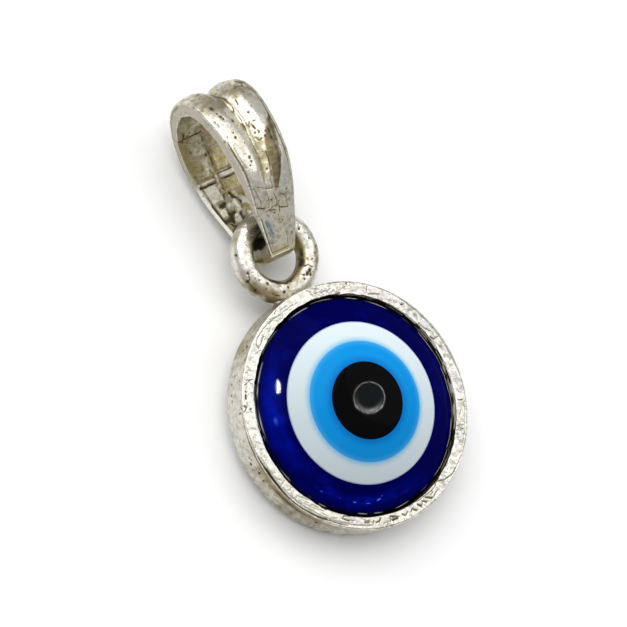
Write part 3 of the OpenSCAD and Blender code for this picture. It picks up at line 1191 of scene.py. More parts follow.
    def pupil_skin(self) -> Skin:
        """The pupil, with the small round spot, sunk a little inside a raised lip, near its middle.

        Its radius is measured from the spot, which is a little wider than long, and its glow is a
        reflection painted on the spot: a grey outline, with a cloud inside it and two brighter stretches
        on it.

        Returns:
            The pupil's surface.
        """
        skin = self.layer("pupil_glass", self.pupil, 0.0)
        x, y = skin.points[..., 0] - 0.07, skin.points[..., 1] - 0.10
        r = np.hypot(x * 0.87, y)
        on_top = skin.points[..., 2] > self.dome(self.pupil) - 0.01
        lip = bump(r - self.spot, 0.05) * 0.02
        dish = ramp(r, self.spot, self.spot - 0.12) * 0.03
        skin.points[..., 2] += on_top * (lip - dish)
        below = turned(np.degrees(np.arctan2(y, x)), -117)
        # The painted reflection on the spot: a cloud low inside it, two brighter stretches and a grey
        # outline
        cloud = bump(below, 50) * bump(r - self.spot + 0.12, 0.12)
        bright = (bump(below + 52, 9) + bump(below - 60, 8)) * bump(r - self.spot, 0.05)
        outline = bump(r - self.spot, 0.023) * (0.80 + 0.4 * Grain(4).at(skin.points, 0.5))
        skin.values["radius"] = r
        skin.values["glow"] = np.clip(np.maximum.reduce([outline, cloud * 0.75, bright]), 0, 1) * on_top
        return skin

    def finishes(self) -> tuple[Glass, Glass, Glass, Glass]:
        """The cobalt, white, sky blue and black glass.

        Returns:
            Their finishes, in that order.
        """
        # Painted shade: a near black band round the cobalt's edge, where it lies under the rim
        painted_shade_edge = ((self.radius - 0.20, 0.05, (0.001, 0.001, 0.008)),)
        # The cobalt's painted light: brighter blue, pale blue glints and pale edge highlights
        cobalt = Glass(
            "cobalt", (0.0, 0.0, 0.060), painted_shade_edge, streak=(0.0, 0.008, 0.38), glow=1.0,
            spark=(0.06, 0.14, 0.75), fleck=(0.50, 0.50, 0.45), ragged=0.30, shine=0.012,
        )
        milk = (
            (self.sky + 0.12, 0.5, (0.66, 0.76, 0.805)),
            (self.white - 0.035, 0.13, (0.20, 0.24, 0.50)),
        )
        blues = (
            (self.pupil + 0.25, 0.5, (0.005, 0.285, 0.73)),
            (self.sky - 0.1, 0.5, (0.06, 0.38, 0.78)),
        )
        # The pupil's painted reflection: lighter inside the spot than round it, pale grey for its outline
        # and cloud
        reflection_spot_edge = ((self.spot, 0.06, (0.0025, 0.0025, 0.0025)),)
        black = Glass(
            "black", (0.006, 0.008, 0.009), reflection_spot_edge, streak=(0.42, 0.42, 0.41), glow=1.0, shine=0.018
        )
        return (
            cobalt,
            Glass("white", (0.16, 0.50, 0.78), milk, dim=0.33),
            Glass("sky", (0.002, 0.19, 0.60), blues, dim=0.28),
            black,
        )

    def build(self, place: CupFrame) -> None:
        """Makes the four pieces of glass.

        Args:
            place: where the cup's frame lies.
        """
        pieces = (
            (self.cobalt(), "cobalt_glass", "cobalt_glass"),
            (self.layer("white_ring", self.white, self.sky), "white_layer", "white_glass"),
            (self.layer("sky_ring", self.sky, self.pupil), "sky_layer", "sky_glass"),
            (self.pupil_skin(), "pupil", "black_glass"),
        )
        for (skin, node, slot), finish in zip(pieces, self.finishes()):
            piece = skin.make(place, finish.material())
            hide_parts(node)


class BandMap:
    """The bail's plain surface, where each point of it lies, and the noises that break marks up.

    Its grids: points, the surface; x and y, position across and along the bail; share, x over half
    the band's width; face, inner and sides, masks of the outer face, the inner one and both sides;
    behind, a mask of the loop's back half; front and back, masks of the front's outer face and of
    the back strap's inner one; run, from 0 at a side's outer edge to 1 at its inner edge; fade, how
    far the ridges have come in; rough, a noise for uneven outlines; jog, millimetres by which lines
    wander; gaps, a noise for breaks in lines.
    """

    def __init__(self, points: np.ndarray, behind: np.ndarray, fade: np.ndarray,
                 counts: tuple[int, int, int]) -> None:
        """Works the grids out.

        Args:
            points: the plain surface, one row for each section.
            behind: which sections are on the loop's back half.
            fade: how far the ridges have come in at each section.
            counts: points across the outer face, a side and the inner face.
        """
        outer, edge, inner = counts
        column = np.arange(points.shape[1])[None, :]
        self.points = points
        self.x, self.y = points[..., 0], points[..., 1]
        self.share = self.x / np.maximum(np.abs(points[:, :1, 0]), 1e-6)
        self.face = column < outer
        self.inner = (column >= outer + edge) & (column < outer + edge + inner)
        self.sides = ~(self.face | self.inner)
        self.behind, self.fade = behind[:, None], fade[:, None]
        self.front, self.back = self.face & ~self.behind, self.inner & self.behind
        self.run = np.zeros(points.shape[1])
        self.run[outer : outer + edge] = np.linspace(0, 1, edge)
        self.run[-edge:] = np.linspace(1, 0, edge)
        self.grain = Grain(31)
        self.rough = self.noise(0.33)
        self.jog = self.noise(0.3) * 0.05 + self.noise(0.12) * 0.02
        self.gaps = self.noise(0.24)

    def noise(self, size: float) -> np.ndarray:
        """The noise of a given size on the plain surface."""
        return self.grain.at(self.points, size)


@dataclass
class Bail:
    """The loose bail: a teardrop band with two ridges, lofted round its loop as in the part's source."""

    length: float = 10.12
    depth: float = 5.12
    width: float = 4.36
    top_wall: float = 0.94
    side_wall: float = 0.83
    tail: float = 1.4
    crown: float = 0.5
    groove: float = 0.35
    ridge: float = 0.15
    lean: float = 2.5
    turn: float = 8.0
    tail_y: float = 9.1
    pivot_z: float = 0.64
    inner_round: float = 0.12
    crest: float = 0.5
    # Rounding of the outer face's edges, bow of the sides, how far each side of the back strap pulls
    # in low down, and the faces' share of the width
    edge_round: float = 0.07
    side_bow: float = 0.045
    narrowing: float = 0.11
    face_share: float = 0.985
    sections: int = 640
    face_points: int = 95
    side_points: int = 7
    inner_points: int = 41
    # Half the loop, every 15 degrees from its top: front, back, hole, half width, as shares
    shape: Table = (
        (0.00, 0.00, 0.00, 1.00),
        (0.27, 0.27, 0.30, 0.99),
        (0.52, 0.51, 0.58, 0.98),
        (0.72, 0.69, 0.79, 0.96),
        (0.88, 0.84, 0.94, 0.91),
        (0.98, 0.91, 1.00, 0.86),
        (1.00, 0.90, 1.00, 0.79),
        (0.88, 0.79, 0.95, 0.72),
        (0.69, 0.64, 0.84, 0.645),
        (0.54, 0.52, 0.73, 0.56),
        (0.41, 0.41, 0.60, 0.47),
        (0.30, 0.30, 0.40, 0.40),
        (0.00, 0.00, 0.00, 0.385),
    )
    # Rough cast pads inside the back strap: from and to along, from and to across, height, then how
    # dark, warm and pale each is; the palest, narrow ledges, are painted highlights
    pads: Table = (
        (8.25, 9.3, -2.2, 1.4, 0.05, 0.40, 0.30, 0),
        (6.9, 8, -1.46, -0.4, 0.06, 0.2, 0.3, 0.1),
        (6.9, 8, -2.2, -1.5, 0, 0.55, 0.5, 0),
        (5.6, 6.85, -2, -1.3, 0, 0.55, 0.55, 0),
        (5.6, 6.8, -1.25, -0.42, 0.05, 0.25, 0.5, 0.09),
        (7.25, 8.2, -0.28, 1.6, 0.06, 0.42, 0.45, 0),
        (5.8, 7.15, -0.12, 1.6, 0.08, 0.22, 1, 0.04),
        (5.32, 5.64, -0.14, 1.5, 0.15, 0.0, 0.08, 1),
        (5.28, 5.5, -1.8, -0.5, 0.14, 0.0, 0.05, 1),
        (4.1, 5.18, -1.7, -0.5, 0.08, 0.04, 0.3, 0.82),
        (4.4, 5.26, -0.08, 1.4, 0.12, 0.12, 1, 0.12),
        (4.55, 5.95, -0.42, -0.28, 0.1, 0.05, 0.3, 0.8),
    )
    # Lumps among the pads: across, along, radius, height, then how dark, warm and pale each is; the
    # palest are painted highlights
    lumps: Table = (
        (-0.1, 4.19, 0.17, 0.16, 0.05, 0.2, 0.8),
        (0.1, 3.62, 0.32, 0.2, 0.15, 0.8, 0.14),
        (-0.45, 3.62, 0.22, 0.14, 0.2, 0.55, 0.12),
        (-0.95, 3.42, 0.22, 0.12, 0.05, 0.2, 0.85),
        (-0.32, 2.72, 0.3, 0.22, 0.05, 0.3, 0.8),
        (0.24, 2.92, 0.2, 0.2, 0.08, 0.55, 0.6),
        (0.6, 3.3, 0.24, 0.12, 0.15, 0.8, 0.1),
    )
    # Dark lines inside the back strap: across and along at each end, width, darkness
    inner_lines: Table = (
        (-1.63, 8.58, -1.71, 7.95, 0.031, 0.88),
        (-2.05, 8.08, -0.4, 8.16, 0.032, 0.88),
        (-1.5, 7.85, -1.28, 6.9, 0.03, 0.66),
        (-0.34, 8.2, -0.52, 6.95, 0.03, 0.77),
        (-0.46, 6.95, -0.4, 6.84, 0.059, 1),
        (-0.2, 7.3, -0.22, 6.2, 0.03, 0.66),
        (-1.2, 6.2, -0.95, 6.1, 0.032, 0.66),
        (-1.74, 5.22, -0.52, 5.21, 0.039, 1),
        (-0.16, 5.68, 1.2, 5.66, 0.028, 0.6),
        (0.1, 5.48, 0.8, 5.46, 0.022, 0.4),
        (-0.14, 5.27, 1.2, 5.24, 0.03, 0.88),
        (-0.48, 5.95, -0.48, 5.24, 0.032, 0.99),
        (-0.2, 5.25, -0.2, 4.5, 0.043, 0.88),
        (-0.36, 4.45, -0.46, 4.05, 0.054, 0.99),
        (-0.6, 4.02, -0.8, 3.9, 0.054, 0.99),
        (0.04, 4.36, 0.5, 3.7, 0.092, 0.99),
        (-0.3, 4, -0.12, 3.88, 0.049, 0.77),
        (-1.24, 3.8, -1.24, 2.9, 0.054, 0.99),
        (-0.64, 3.55, -0.66, 2.9, 0.07, 0.99),
        (0.02, 3.18, 0.26, 3.16, 0.038, 0.88),
        (-0.04, 3, -0.06, 2.6, 0.032, 0.88),
    )
    # Dark lines and cracks on the front: across and along at each end, width, darkness
    lines: Table = (
        (-0.11, 9.98, 0.15, 9.31, 0.036, 0.62),
        (0.15, 9.31, 0.11, 8.8, 0.034, 0.66),
        (0.11, 8.8, 0.06, 7.81, 0.029, 0.95),
        (0.06, 7.81, -0.03, 6.75, 0.026, 0.9),
        (-0.03, 6.75, -0.2, 6.2, 0.042, 1),
        (-0.2, 6.2, -0.24, 5.84, 0.039, 1),
        (-0.24, 5.84, -0.42, 5.1, 0.026, 0.75),
        (-0.42, 5.1, -0.36, 3.9, 0.025, 0.65),
        (0.3, 5.8, 0.24, 5, 0.026, 0.65),
        (0.24, 5, -0.1, 3.75, 0.026, 0.75),
        (1.58, 9.97, 1.69, 9.8, 0.052, 1),
        (1.69, 9.8, 1.44, 9.63, 0.039, 1),
        (1.44, 9.63, 0.96, 9.66, 0.039, 0.55),
        (0.46, 9.05, 0.42, 8.77, 0.058, 0.75),
        (1.4, 7.84, 1.39, 7.66, 0.025, 0.75),
        (1.62, 7.75, 1.5, 7.4, 0.029, 1),
        (0.37, 7.42, 0.42, 7.16, 0.044, 1),
        (0.53, 7.61, 0.66, 7.6, 0.031, 0.95),
        (0.18, 7.66, 0.17, 7.5, 0.025, 0.9),
        (0.17, 7.54, 0.22, 7.38, 0.026, 0.9),
        (0.37, 7.65, 0.25, 7.53, 0.025, 0.8),
        (0.24, 6.7, 0.31, 6.5, 0.026, 0.95),
        (0.31, 6.5, 0.47, 6.52, 0.026, 0.95),
        (1.02, 6.92, 1, 6.72, 0.04, 0.6),
        (0.96, 6.5, 0.94, 6.3, 0.04, 0.5),
        (1.6, 6.6, 1.48, 5.6, 0.025, 0.5),
        (-1.76, 8.39, -1.74, 8.07, 0.065, 0.55),
        (-1.6, 4.37, -1.18, 4.17, 0.025, 1),
        (-1.18, 4.17, -0.87, 4.07, 0.025, 1),
        (-0.87, 4.07, -0.26, 3.85, 0.025, 0.95),
        (-0.26, 3.85, 0.6, 3.66, 0.025, 0.55),
        (-1.6, 4.2, -1.47, 4.13, 0.026, 0.75),
        (-1.36, 4.14, -1.04, 3.28, 0.025, 0.95),
        (-1.04, 3.28, -1.07, 3.06, 0.026, 1),
        (-1.37, 3.06, -0.82, 2.88, 0.044, 1),
        (-0.82, 2.88, -0.52, 2.84, 0.025, 0.75),
        (-0.5, 3.8, -0.42, 3.2, 0.025, 0.75),
        (-0.42, 3.2, -0.5, 2.84, 0.025, 0.75),
        (-0.04, 3.52, 0.11, 3.18, 0.025, 0.95),
        (0.11, 3.18, 0.09, 2.78, 0.025, 1),
        (0.09, 2.78, -0.25, 2.8, 0.025, 0.8),
        (-0.25, 2.8, -0.58, 2.61, 0.025, 0.8),
        (0.28, 2.61, 0.84, 2.45, 0.044, 1),
        (0.29, 2.96, 0.23, 2.4, 0.039, 1),
        (0.25, 3.26, 0.44, 3.33, 0.025, 0.8),
        (0.44, 3.33, 0.75, 3.14, 0.025, 0.9),
        (0.75, 3.14, 0.8, 2.62, 0.025, 0.75),
        (-0.46, 2.65, -0.12, 2.63, 0.025, 0.95),
        (-0.12, 2.63, 0.04, 2.49, 0.025, 0.95),
        (0.04, 2.49, 0.06, 2.2, 0.025, 0.75),
        (-0.8, 2.6, -0.6, 2.35, 0.025, 0.7),
        (-0.92, 2.2, -0.82, 1.85, 0.04, 0.7),
        (-0.72, 1.98, -0.62, 1.7, 0.04, 0.6),
        (-0.6, 1.66, -0.5, 1.36, 0.045, 0.55),
        (-0.42, 1.9, -0.36, 1.7, 0.035, 0.6),
        (0.44, 1.25, 0.38, 0.44, 0.026, 1),
        (0.8, 1.12, 0.73, 0.46, 0.026, 1),
    )
    # Pale worn lines on the front: across and along at each end, width, paleness
    worn: Table = (
        (0.2, 9.05, 0.2, 7.9, 0.03, 0.9),
        (0.2, 7.9, 0.12, 6.9, 0.028, 0.9),
        (0.12, 6.9, 0.05, 6, 0.03, 0.95),
        (1.18, 6.9, 1.05, 5.4, 0.06, 0.6),
        (1.72, 7.6, 1.52, 5.8, 0.026, 0.75),
        (0.62, 1.15, 0.56, 0.4, 0.06, 0.75),
        (-1.62, 6.6, -1.55, 5.4, 0.05, 0.6),
    )
    # Pits on the front: across, along, radius
    holes: Table = (
        (-1.38, 9.11, 0.075), (-1.33, 8.76, 0.050), (-1.27, 8.53, 0.085), (-1.21, 8.36, 0.075),
        (-0.73, 8.04, 0.090), (-1.18, 7.44, 0.050), (-1.21, 7.16, 0.085), (0.59, 8.17, 0.060),
        (-1.64, 7.33, 0.045), (-1.90, 7.14, 0.050), (-1.02, 5.82, 0.075), (-1.01, 5.59, 0.080),
        (-0.96, 5.87, 0.060), (-1.17, 5.39, 0.050), (0.92, 3.43, 0.070), (0.02, 4.86, 0.060),
        (-0.24, 3.17, 0.060), (-0.16, 2.44, 0.055), (0.29, 1.89, 0.050), (0.14, 1.81, 0.050),
        (0.12, 2.01, 0.050), (0.51, 6.95, 0.045), (0.66, 6.60, 0.045), (0.30, 6.95, 0.040),
        (0.80, 6.85, 0.040), (0.48, 7.02, 0.040), (-0.60, 7.70, 0.040), (-0.85, 6.70, 0.040),
    )
    # Soft stains on the front: across, along, spread across and along, darkness, warmth, coolness
    stains: Table = (
        (0.51, 9.6, 0.13, 0.12, 0.4, 0, 0),
        (-0.14, 9.1, 0.22, 0.75, 0.20, 0.12, 0),
        (-0.16, 7.6, 0.14, 0.7, 0.18, 0.2, 0),
        (-0.22, 6, 0.15, 1, 0.3, 0.55, 0),
        (-0.22, 4.6, 0.14, 0.8, 0.42, 0.3, 0),
        (0.35, 6.6, 0.32, 0.6, 0.24, 0.35, 0),
        (0.3, 7.4, 0.3, 0.35, 0.1, 0.2, 0),
        (0.1, 5.7, 0.3, 0.9, 0.34, 0.5, 0),
        (-0.77, 1.91, 0.24, 0.3, 0.34, 0, 0.72),
        (-0.6, 1.4, 0.2, 0.26, 0.24, 0, 0.52),
        (1.2, 4.3, 0.3, 0.8, 0.22, 0, 0.1),
        (1.62, 6.4, 0.12, 1.6, 0.4, 0, 0.05),
        (1.86, 8.2, 0.12, 1.3, 0.36, 0, 0.05),
        # This row and the next darken the lobes at the loop's top: a painted dark reflection, cool in tint
        (-1, 9.25, 0.9, 0.72, 0.64, 0, 0.16),
        (0.9, 9.52, 0.85, 0.42, 0.34, 0, 0.14),
        (0.95, 6.7, 0.1, 0.35, 0.12, 0, 0),
        (-1.05, 7.3, 0.5, 1.2, 0.1, 0.1, 0),
        (1.3, 5.7, 0.26, 1.1, 0.16, 0, 0),
        (-0.9, 3.3, 0.7, 0.9, 0.10, 0.26, 0),
        (0.2, 1.2, 0.8, 1.1, 0.03, 0.30, 0),
        (0.3, 2.9, 0.7, 0.8, 0.12, 0.22, 0),
    )

    def column(self, angle: np.ndarray, number: int) -> np.ndarray:
        """A smooth curve through one column of the table, mirrored past both ends.

        Args:
            angle: degrees from the loop's top, from 0 to 180.
            number: the column; all but the last change sign past the ends.
        Returns:
            The share at each angle.
        """
        values = np.array([row[number] for row in self.shape])
        sign = 1 if number == 3 else -1
        longer = np.concatenate([[sign * values[1]], values, [sign * values[-2]]])
        place = angle * (len(values) - 1) / 180
        k = np.minimum(np.floor(place).astype(int), len(values) - 2)
        f = place - k
        p0, p1, p2, p3 = (longer[k + i] for i in range(4))
        cubic = 3 * (p1 - p2) + p3 - p0
        return p1 + 0.5 * f * (p2 - p0 + f * (2 * p0 - 5 * p1 + 4 * p2 - p3 + f * cubic))

    def hung(self, p: np.ndarray) -> np.ndarray:
        """The bail as it hangs on the ring: turned about its length, then leant forward.

        Args:
            p: points of the bail, drawn flat.
        Returns:
            The points as they hang.
        """
        turn, lean = math.radians(self.turn), math.radians(self.lean)
        x = p[..., 0] * math.cos(turn) + p[..., 2] * math.sin(turn)
        z = p[..., 2] * math.cos(turn) - p[..., 0] * math.sin(turn)
        y = self.tail_y + p[..., 1] * math.cos(lean) - z * math.sin(lean)
        return np.stack([x, y, self.pivot_z + p[..., 1] * math.sin(lean) + z * math.cos(lean)], -1)

    def ridges(self, u: np.ndarray) -> np.ndarray:
        """Height of the outer face over its edges: a V groove between two rounded ridges.

        Args:
            u: position across, from -1 to 1.
        Returns:
            Height in millimetres.
        """
        a = np.abs(u)
        inside = (self.groove + self.ridge) * np.sin(np.pi / 2 * np.minimum(a / self.crest, 1)) - self.groove
        outside = self.ridge * np.cos(np.pi / 2 * np.clip((a - self.crest) / (1 - self.crest), 0, 1))
        return np.where(a < self.crest, inside, outside)

    def outer_height(self, y: np.ndarray, behind: np.ndarray, fade: np.ndarray, u: np.ndarray) -> np.ndarray:
        """Height of the outer face over the plain loop: the ridges, less its rounded edges.

        The ridges drift to the left towards the front's tail, and the outer 4 % of each half falls
        as a quarter of an ellipse.

        Args:
            y: position along the bail, one row for each section.
            behind: which sections are on the loop's back half.
            fade: how far the ridges have come in.
            u: position across, from -1 to 1.
        Returns:
            Height in millimetres.
        """
        drift = 0.24 * ramp(y, 5.8, 3.6) * ~behind
        past = np.clip((np.abs(u) - 0.96) / 0.04, 0, 1)
        rise = fade * self.ridges(np.clip(u + drift * (1 - u**2), -1, 1))
        return rise - self.edge_round * (1 - np.sqrt(1 - past**2))

    def skin(self) -> Skin:
        """The bail's surface: outer face, side, inner face and side of every section round the loop.

        A section stands between a point of the outer teardrop and one of the hole's. Its inner face
        is a parabola, and its sides bow out by a sine and pull in where the back strap is narrower.

        Returns:
            The bail's surface.
        """
        full = np.linspace(0, 360, self.sections, endpoint=False)
        behind = full > 180
        angle = np.where(behind, 360 - full, full)
        side = np.where(behind, -0.5, 0.5)
        along = (1 + np.cos(np.radians(angle))) / 2
        hole_long = self.length - self.top_wall - self.tail
        hole_deep = self.depth - 2 * self.side_wall
        deep = self.depth * np.where(behind, self.column(angle, 1), self.column(angle, 0))
        outer = np.stack([self.length * along, side * deep], -1)
        inner = np.stack([self.tail + hole_long * along, side * hole_deep * self.column(angle, 2)], -1)
        out = unit(outer - inner)
        y = outer[:, 0]
        fade = np.where(behind, ramp(along, 0.60, 0.90), ramp(along, 0.30, 0.55))
        u_out, u_in = np.linspace(-1, 1, self.face_points), np.linspace(1, -1, self.inner_points)
        edge = np.linspace(0, 1, self.side_points + 2)[1:-1]
        height = self.outer_height(y[:, None], behind[:, None], fade[:, None], u_out)
        fall = self.inner_round + (self.crown - self.inner_round) * ramp(angle, 120, 165)
        face = outer[:, None] + out[:, None] * height[..., None]
        under = inner[:, None] + out[:, None] * (fall[:, None] * u_in**2)[..., None]
        right = face[:, -1:] * (1 - edge)[:, None] + under[:, :1] * edge[:, None]
        left = under[:, -1:] * (1 - edge)[:, None] + face[:, :1] * edge[:, None]
        half = self.width / 2 * self.column(angle, 3)[:, None]
        narrower = (self.narrowing * behind * ramp(y, 7, 5) * ramp(y, 0.6, 1.8))[:, None]
        wide = half * self.face_share - narrower
        bow = half - (self.side_bow + narrower) * (1 - np.sin(np.pi * edge))
        x = np.concatenate([wide * u_out, bow, wide * u_in, -bow[:, ::-1]], 1)
        yz = np.concatenate([face, right, under, left], 1)
        band = BandMap(
            np.concatenate([x[..., None], yz], -1), behind, fade, (len(u_out), len(edge), len(u_in))
        )
        return self.finished(band, out)

    def strokes(self, table: Table, band: BandMap, sway: float = 1.0) -> np.ndarray:
        """The strongest of a table's strokes at each point.

        Args:
            table: rows of both ends, width and strength.
            band: where each point lies.
            sway: how much of the band's jog the strokes follow.
        Returns:
            Strength from 0 to 1.
        """
        x, y = band.x + band.jog * sway, band.y - band.jog * sway
        total = np.zeros(x.shape)
        for *ends, width, strong in table:
            total = np.maximum(total, strong * stroke(x, y, tuple(ends), width))
        return total

    def cast_pads(self, band: BandMap) -> list[np.ndarray]:
        """The rough pads and lumps: flat steps with uneven edges, and round bumps, each with its tone;
        the palest ledges and lumps are painted highlights.

        Args:
            band: where each point lies.
        Returns:
            Height in millimetres, then darkness, warmth and paleness.
        """
        x, y, grain, soft = band.x, band.y, band.rough, 0.06
        between = (0.0, 0.42, 0.45, 0.0)
        grids = [np.full(x.shape, look) for look in between]
        forms = []
        for y0, y1, x0, x1, *looks in self.pads:
            wide = smooth((x - x0 + grain * 0.10) / soft) * smooth((x1 - x + grain * 0.10) / soft)
            tall = smooth((y - y0 + grain * 0.05) / soft) * smooth((y1 - y - grain * 0.05) / soft)
            forms.append((wide * tall, looks))
        for across, along, radius, *looks in self.lumps:
            away = np.hypot(x - across, y - along) * (1 + grain * 0.3)
            forms.append((ramp(away, radius, radius - 0.10), looks))
        for form, looks in forms:
            for grid, look in zip(grids, looks):
                grid += form * (look - grid)
        return grids

    def strap_inside(self, band: BandMap) -> tuple[np.ndarray, ...]:
        """The back strap's inside: the pads, and towards the tail rubble that a noise raises, with
        painted highlights on its tops and painted shade in its gulleys.

        Args:
            band: where each point lies.
        Returns:
            Height in millimetres, then darkness, warmth and paleness, and the strength of the dark
            outlines of the rubble.
        """
        height, dark, gold, light = self.cast_pads(band)
        rubble = band.back * ramp(band.y, 5.2, 4.0) * (0.35 + 0.65 * ramp(band.y, 4.3, 3.8))
        blocks = band.noise(0.30)
        # Painted highlights on the rubble's tops and painted shade in its gulleys
        lit_tops, shaded_gulleys = rubble * ramp(blocks, 0.15, 0.40), rubble * ramp(blocks, 0.0, -0.3)
        height = height + 0.05 * rubble * ramp(blocks, 0.1, 0.4)
        dark = dark * (1 - 0.6 * lit_tops) + 0.5 * shaded_gulleys
        outlines = 0.85 * rubble * bump(blocks - 0.02, 0.05)
        return height, dark, gold + 0.35 * shaded_gulleys, light + 0.75 * lit_tops, outlines

    def pits(self, band: BandMap) -> np.ndarray:
        """Depth from 0 to 1 of the outer face's pits: a scatter of small ones, and the table's.

        Args:
            band: where each point lies.
        Returns:
            The depth at each point.
        """
        rough = band.points + band.noise(0.12)[..., None] * 0.02
        centres, radii = scattered(band.points, band.face & (band.y > 2.5), 90, 33)
        pits = band.face * pitted(rough, centres, radii)
        for across, along, radius in self.holes:
            away = np.hypot(band.x - across, band.y - along) * (1 + band.rough * 0.3)
            pits = np.maximum(pits, band.front * bump(away, radius))
        return pits

    def front_cracks(self, band: BandMap) -> np.ndarray:
        """Darkness of the front's lines: the table's, a crackle near the tail and a crease at the left.

        The crackle lies where a noise is near 0.

        Args:
            band: where each point lies.
        Returns:
            The darkness at each point.
        """
        y, gaps = band.y, band.gaps
        lines = self.strokes(self.lines, band) * smooth(1.0 + gaps)
        crackle = bump(band.noise(0.34), 0.05) * ramp(y, 3.9, 3.1) * ramp(band.noise(0.8), -0.6, 0.4)
        strong = ramp(y, 7.2, 6.9) * (0.45 + 0.55 * ramp(y, 4.0, 4.8)) * ramp(y, 2.5, 2.8)
        crease = bump(band.share + 0.955, 0.026) * strong * smooth(1.2 + gaps)
        return band.front * np.maximum.reduce([lines, crackle * 0.48, crease])

    def tail_border(self, band: BandMap) -> tuple[np.ndarray, np.ndarray]:
        """The border of the front's tail: a dark line near its left edge and its end, and a welt outside it.

        Args:
            band: where each point lies.
        Returns:
            Strength of the line and height of the welt, from 0 to 1.
        """
        y, share = band.y, band.share
        low, left = band.front * ramp(y, 2.6, 2.3), ramp(share, 0.6, 0.5)
        beside = bump(share + 0.855, 0.030) * ramp(y, 0.36, 0.42)
        across = bump(y - 0.43, 0.035) * ramp(share, -0.9, -0.85) * left
        welt = np.maximum(bump(share + 0.94, 0.045) * ramp(y, 0.20, 0.26), bump(y - 0.30, 0.06) * left)
        return low * np.maximum(beside, across), low * welt

    def finished(self, band: BandMap, out: np.ndarray) -> Skin:
        """Adds pads, pits, cracks and stains, and hangs the bail on the ring.

        Args:
            band: the plain surface.
            out: each section's direction from the hole outwards.
        Returns:
            The finished surface.
        """
        y, gaps = band.y, band.gaps
        height, *tones, outlines = self.strap_inside(band)
        line_round_tail, welt = self.tail_border(band)
        pits = self.pits(band)
        cracks = np.maximum(self.front_cracks(band), line_round_tail * smooth(1.1 + gaps) * 0.9)
        scars = np.maximum(band.back * self.strokes(self.inner_lines, band) * smooth(1.1 + gaps), outlines)
        seam = band.front * bump(band.share - 0.86, 0.020) * band.fade * smooth(0.7 + band.noise(0.8))
        hem = band.back * bump(band.share + 0.97, 0.03) * ramp(y, 5.6, 5.3) * ramp(y, 2.2, 2.6)
        marks = np.maximum.reduce([pits, cracks, seam * 0.8, scars]) + hem
        worn = band.front * self.strokes(self.worn, band, 0.6) * smooth(0.9 + gaps)
        # The welt's paleness is a painted highlight along its raised edge
        worn = np.maximum(worn, welt * smooth(1.3 + gaps))
        chalky = band.inner * (0.022 * band.noise(0.15) + 0.025 * band.noise(0.45))
        sunk = pits * 0.045 + (cracks + scars + seam) * 0.03
        relief = height * band.back + chalky + welt * 0.03 - sunk
        ripple = band.grain.worn(band.points, (0.9, 0.012), (0.25, 0.006))
        ways = np.pad(out, ((0, 0), (1, 0)))[:, None]
        points = band.points + ways * np.where(band.inner, -relief, relief + ripple)[..., None]
        values = self.looks(band, points, marks, worn, tones)
        return Skin("bail_band", self.hung(points), Joining.ROUND, values, crease=62)

    def looks(self, band: BandMap, points: np.ndarray, marks: np.ndarray, worn: np.ndarray,
              tones: list[np.ndarray]) -> dict[str, np.ndarray]:
        """The bail's wear and painted light: its marks and stains, a stripe that is a painted dark
        reflection, sides with painted shade and a painted highlight, and the tones of the strap's inside,
        with their painted highlights and shade.

        Args:
            band: where each point lies.
            points: the finished surface, before it is hung.
            marks: darkness of the pits, cracks and seams.
            worn: paleness of the front's worn lines, and a painted highlight along the tail's welt.
            tones: darkness, warmth and paleness of the back strap's inside.
        Returns:
            The values that the silver's finish reads.
        """
        y = band.y
        dark, gold, light = tones
        soil, warm, cool = self.front_stains(band, points)
        dark_and_shaded_sides, pale_and_lit_sides = self.side_wear_and_painted_light(band)
        # The grey film, and the painted dark reflection of the stripe
        film_and_reflection = np.maximum(self.dark_reflection_stripe(band, points), self.film(band, points, soil))
        # Inner faces: the strap's tones, a plain darkness elsewhere, and painted shade towards the hole's
        # lower end
        hole = band.inner * (np.where(band.back, dark, 0.32) + 0.10 * band.rough + 0.9 * ramp(y, 2.5, 2.1))
        shine = band.front * bump(np.abs(band.share) - 0.5, 0.4) * ramp(y, 3.5, 5.0) * ramp(y, 9.2, 8.0)
        warm_tail = 0.7 * ramp(y - 0.6 * band.behind, 0.9, 0.4)
        warm = np.where(band.back, gold, np.where(band.inner, 0.2, warm + warm_tail))
        pale = np.where(band.back, light, worn + pale_and_lit_sides)
        return {
            "tarnish": np.clip(marks + hole + film_and_reflection + dark_and_shaded_sides, 0, 1),
            "polish": np.where(band.sides, 0.8, shine),
            "warm": np.clip(warm, 0, 1),
            "pale": np.clip(pale, 0, 1) * (1 - np.clip(marks, 0, 1)),
            "cool": np.clip(cool, 0, 1),
        }

    def front_stains(self, band: BandMap, points: np.ndarray) -> tuple[np.ndarray, ...]:
        """The table's soft stains on the front, two of which paint a dark reflection on the lobes.

        Args:
            band: where each point lies.
            points: the finished surface, before it is hung.
        Returns:
            Darkness, warmth and coolness.
        """
        fine = band.grain.at(points, 0.16)
        soil, warm, cool = (np.zeros(band.x.shape) for _ in range(3))
        for across, along, wide, long, soiled, golden, bluish in self.stains:
            patch = bump(band.x - across + band.jog, wide) * bump(band.y - along - band.jog, long)
            patch = patch * band.front * (0.85 + 0.4 * band.rough)
            soil, warm = soil + patch * soiled, warm + patch * golden
            cool = cool + patch * bluish * (1 + 1.1 * fine)
        return soil, warm, cool

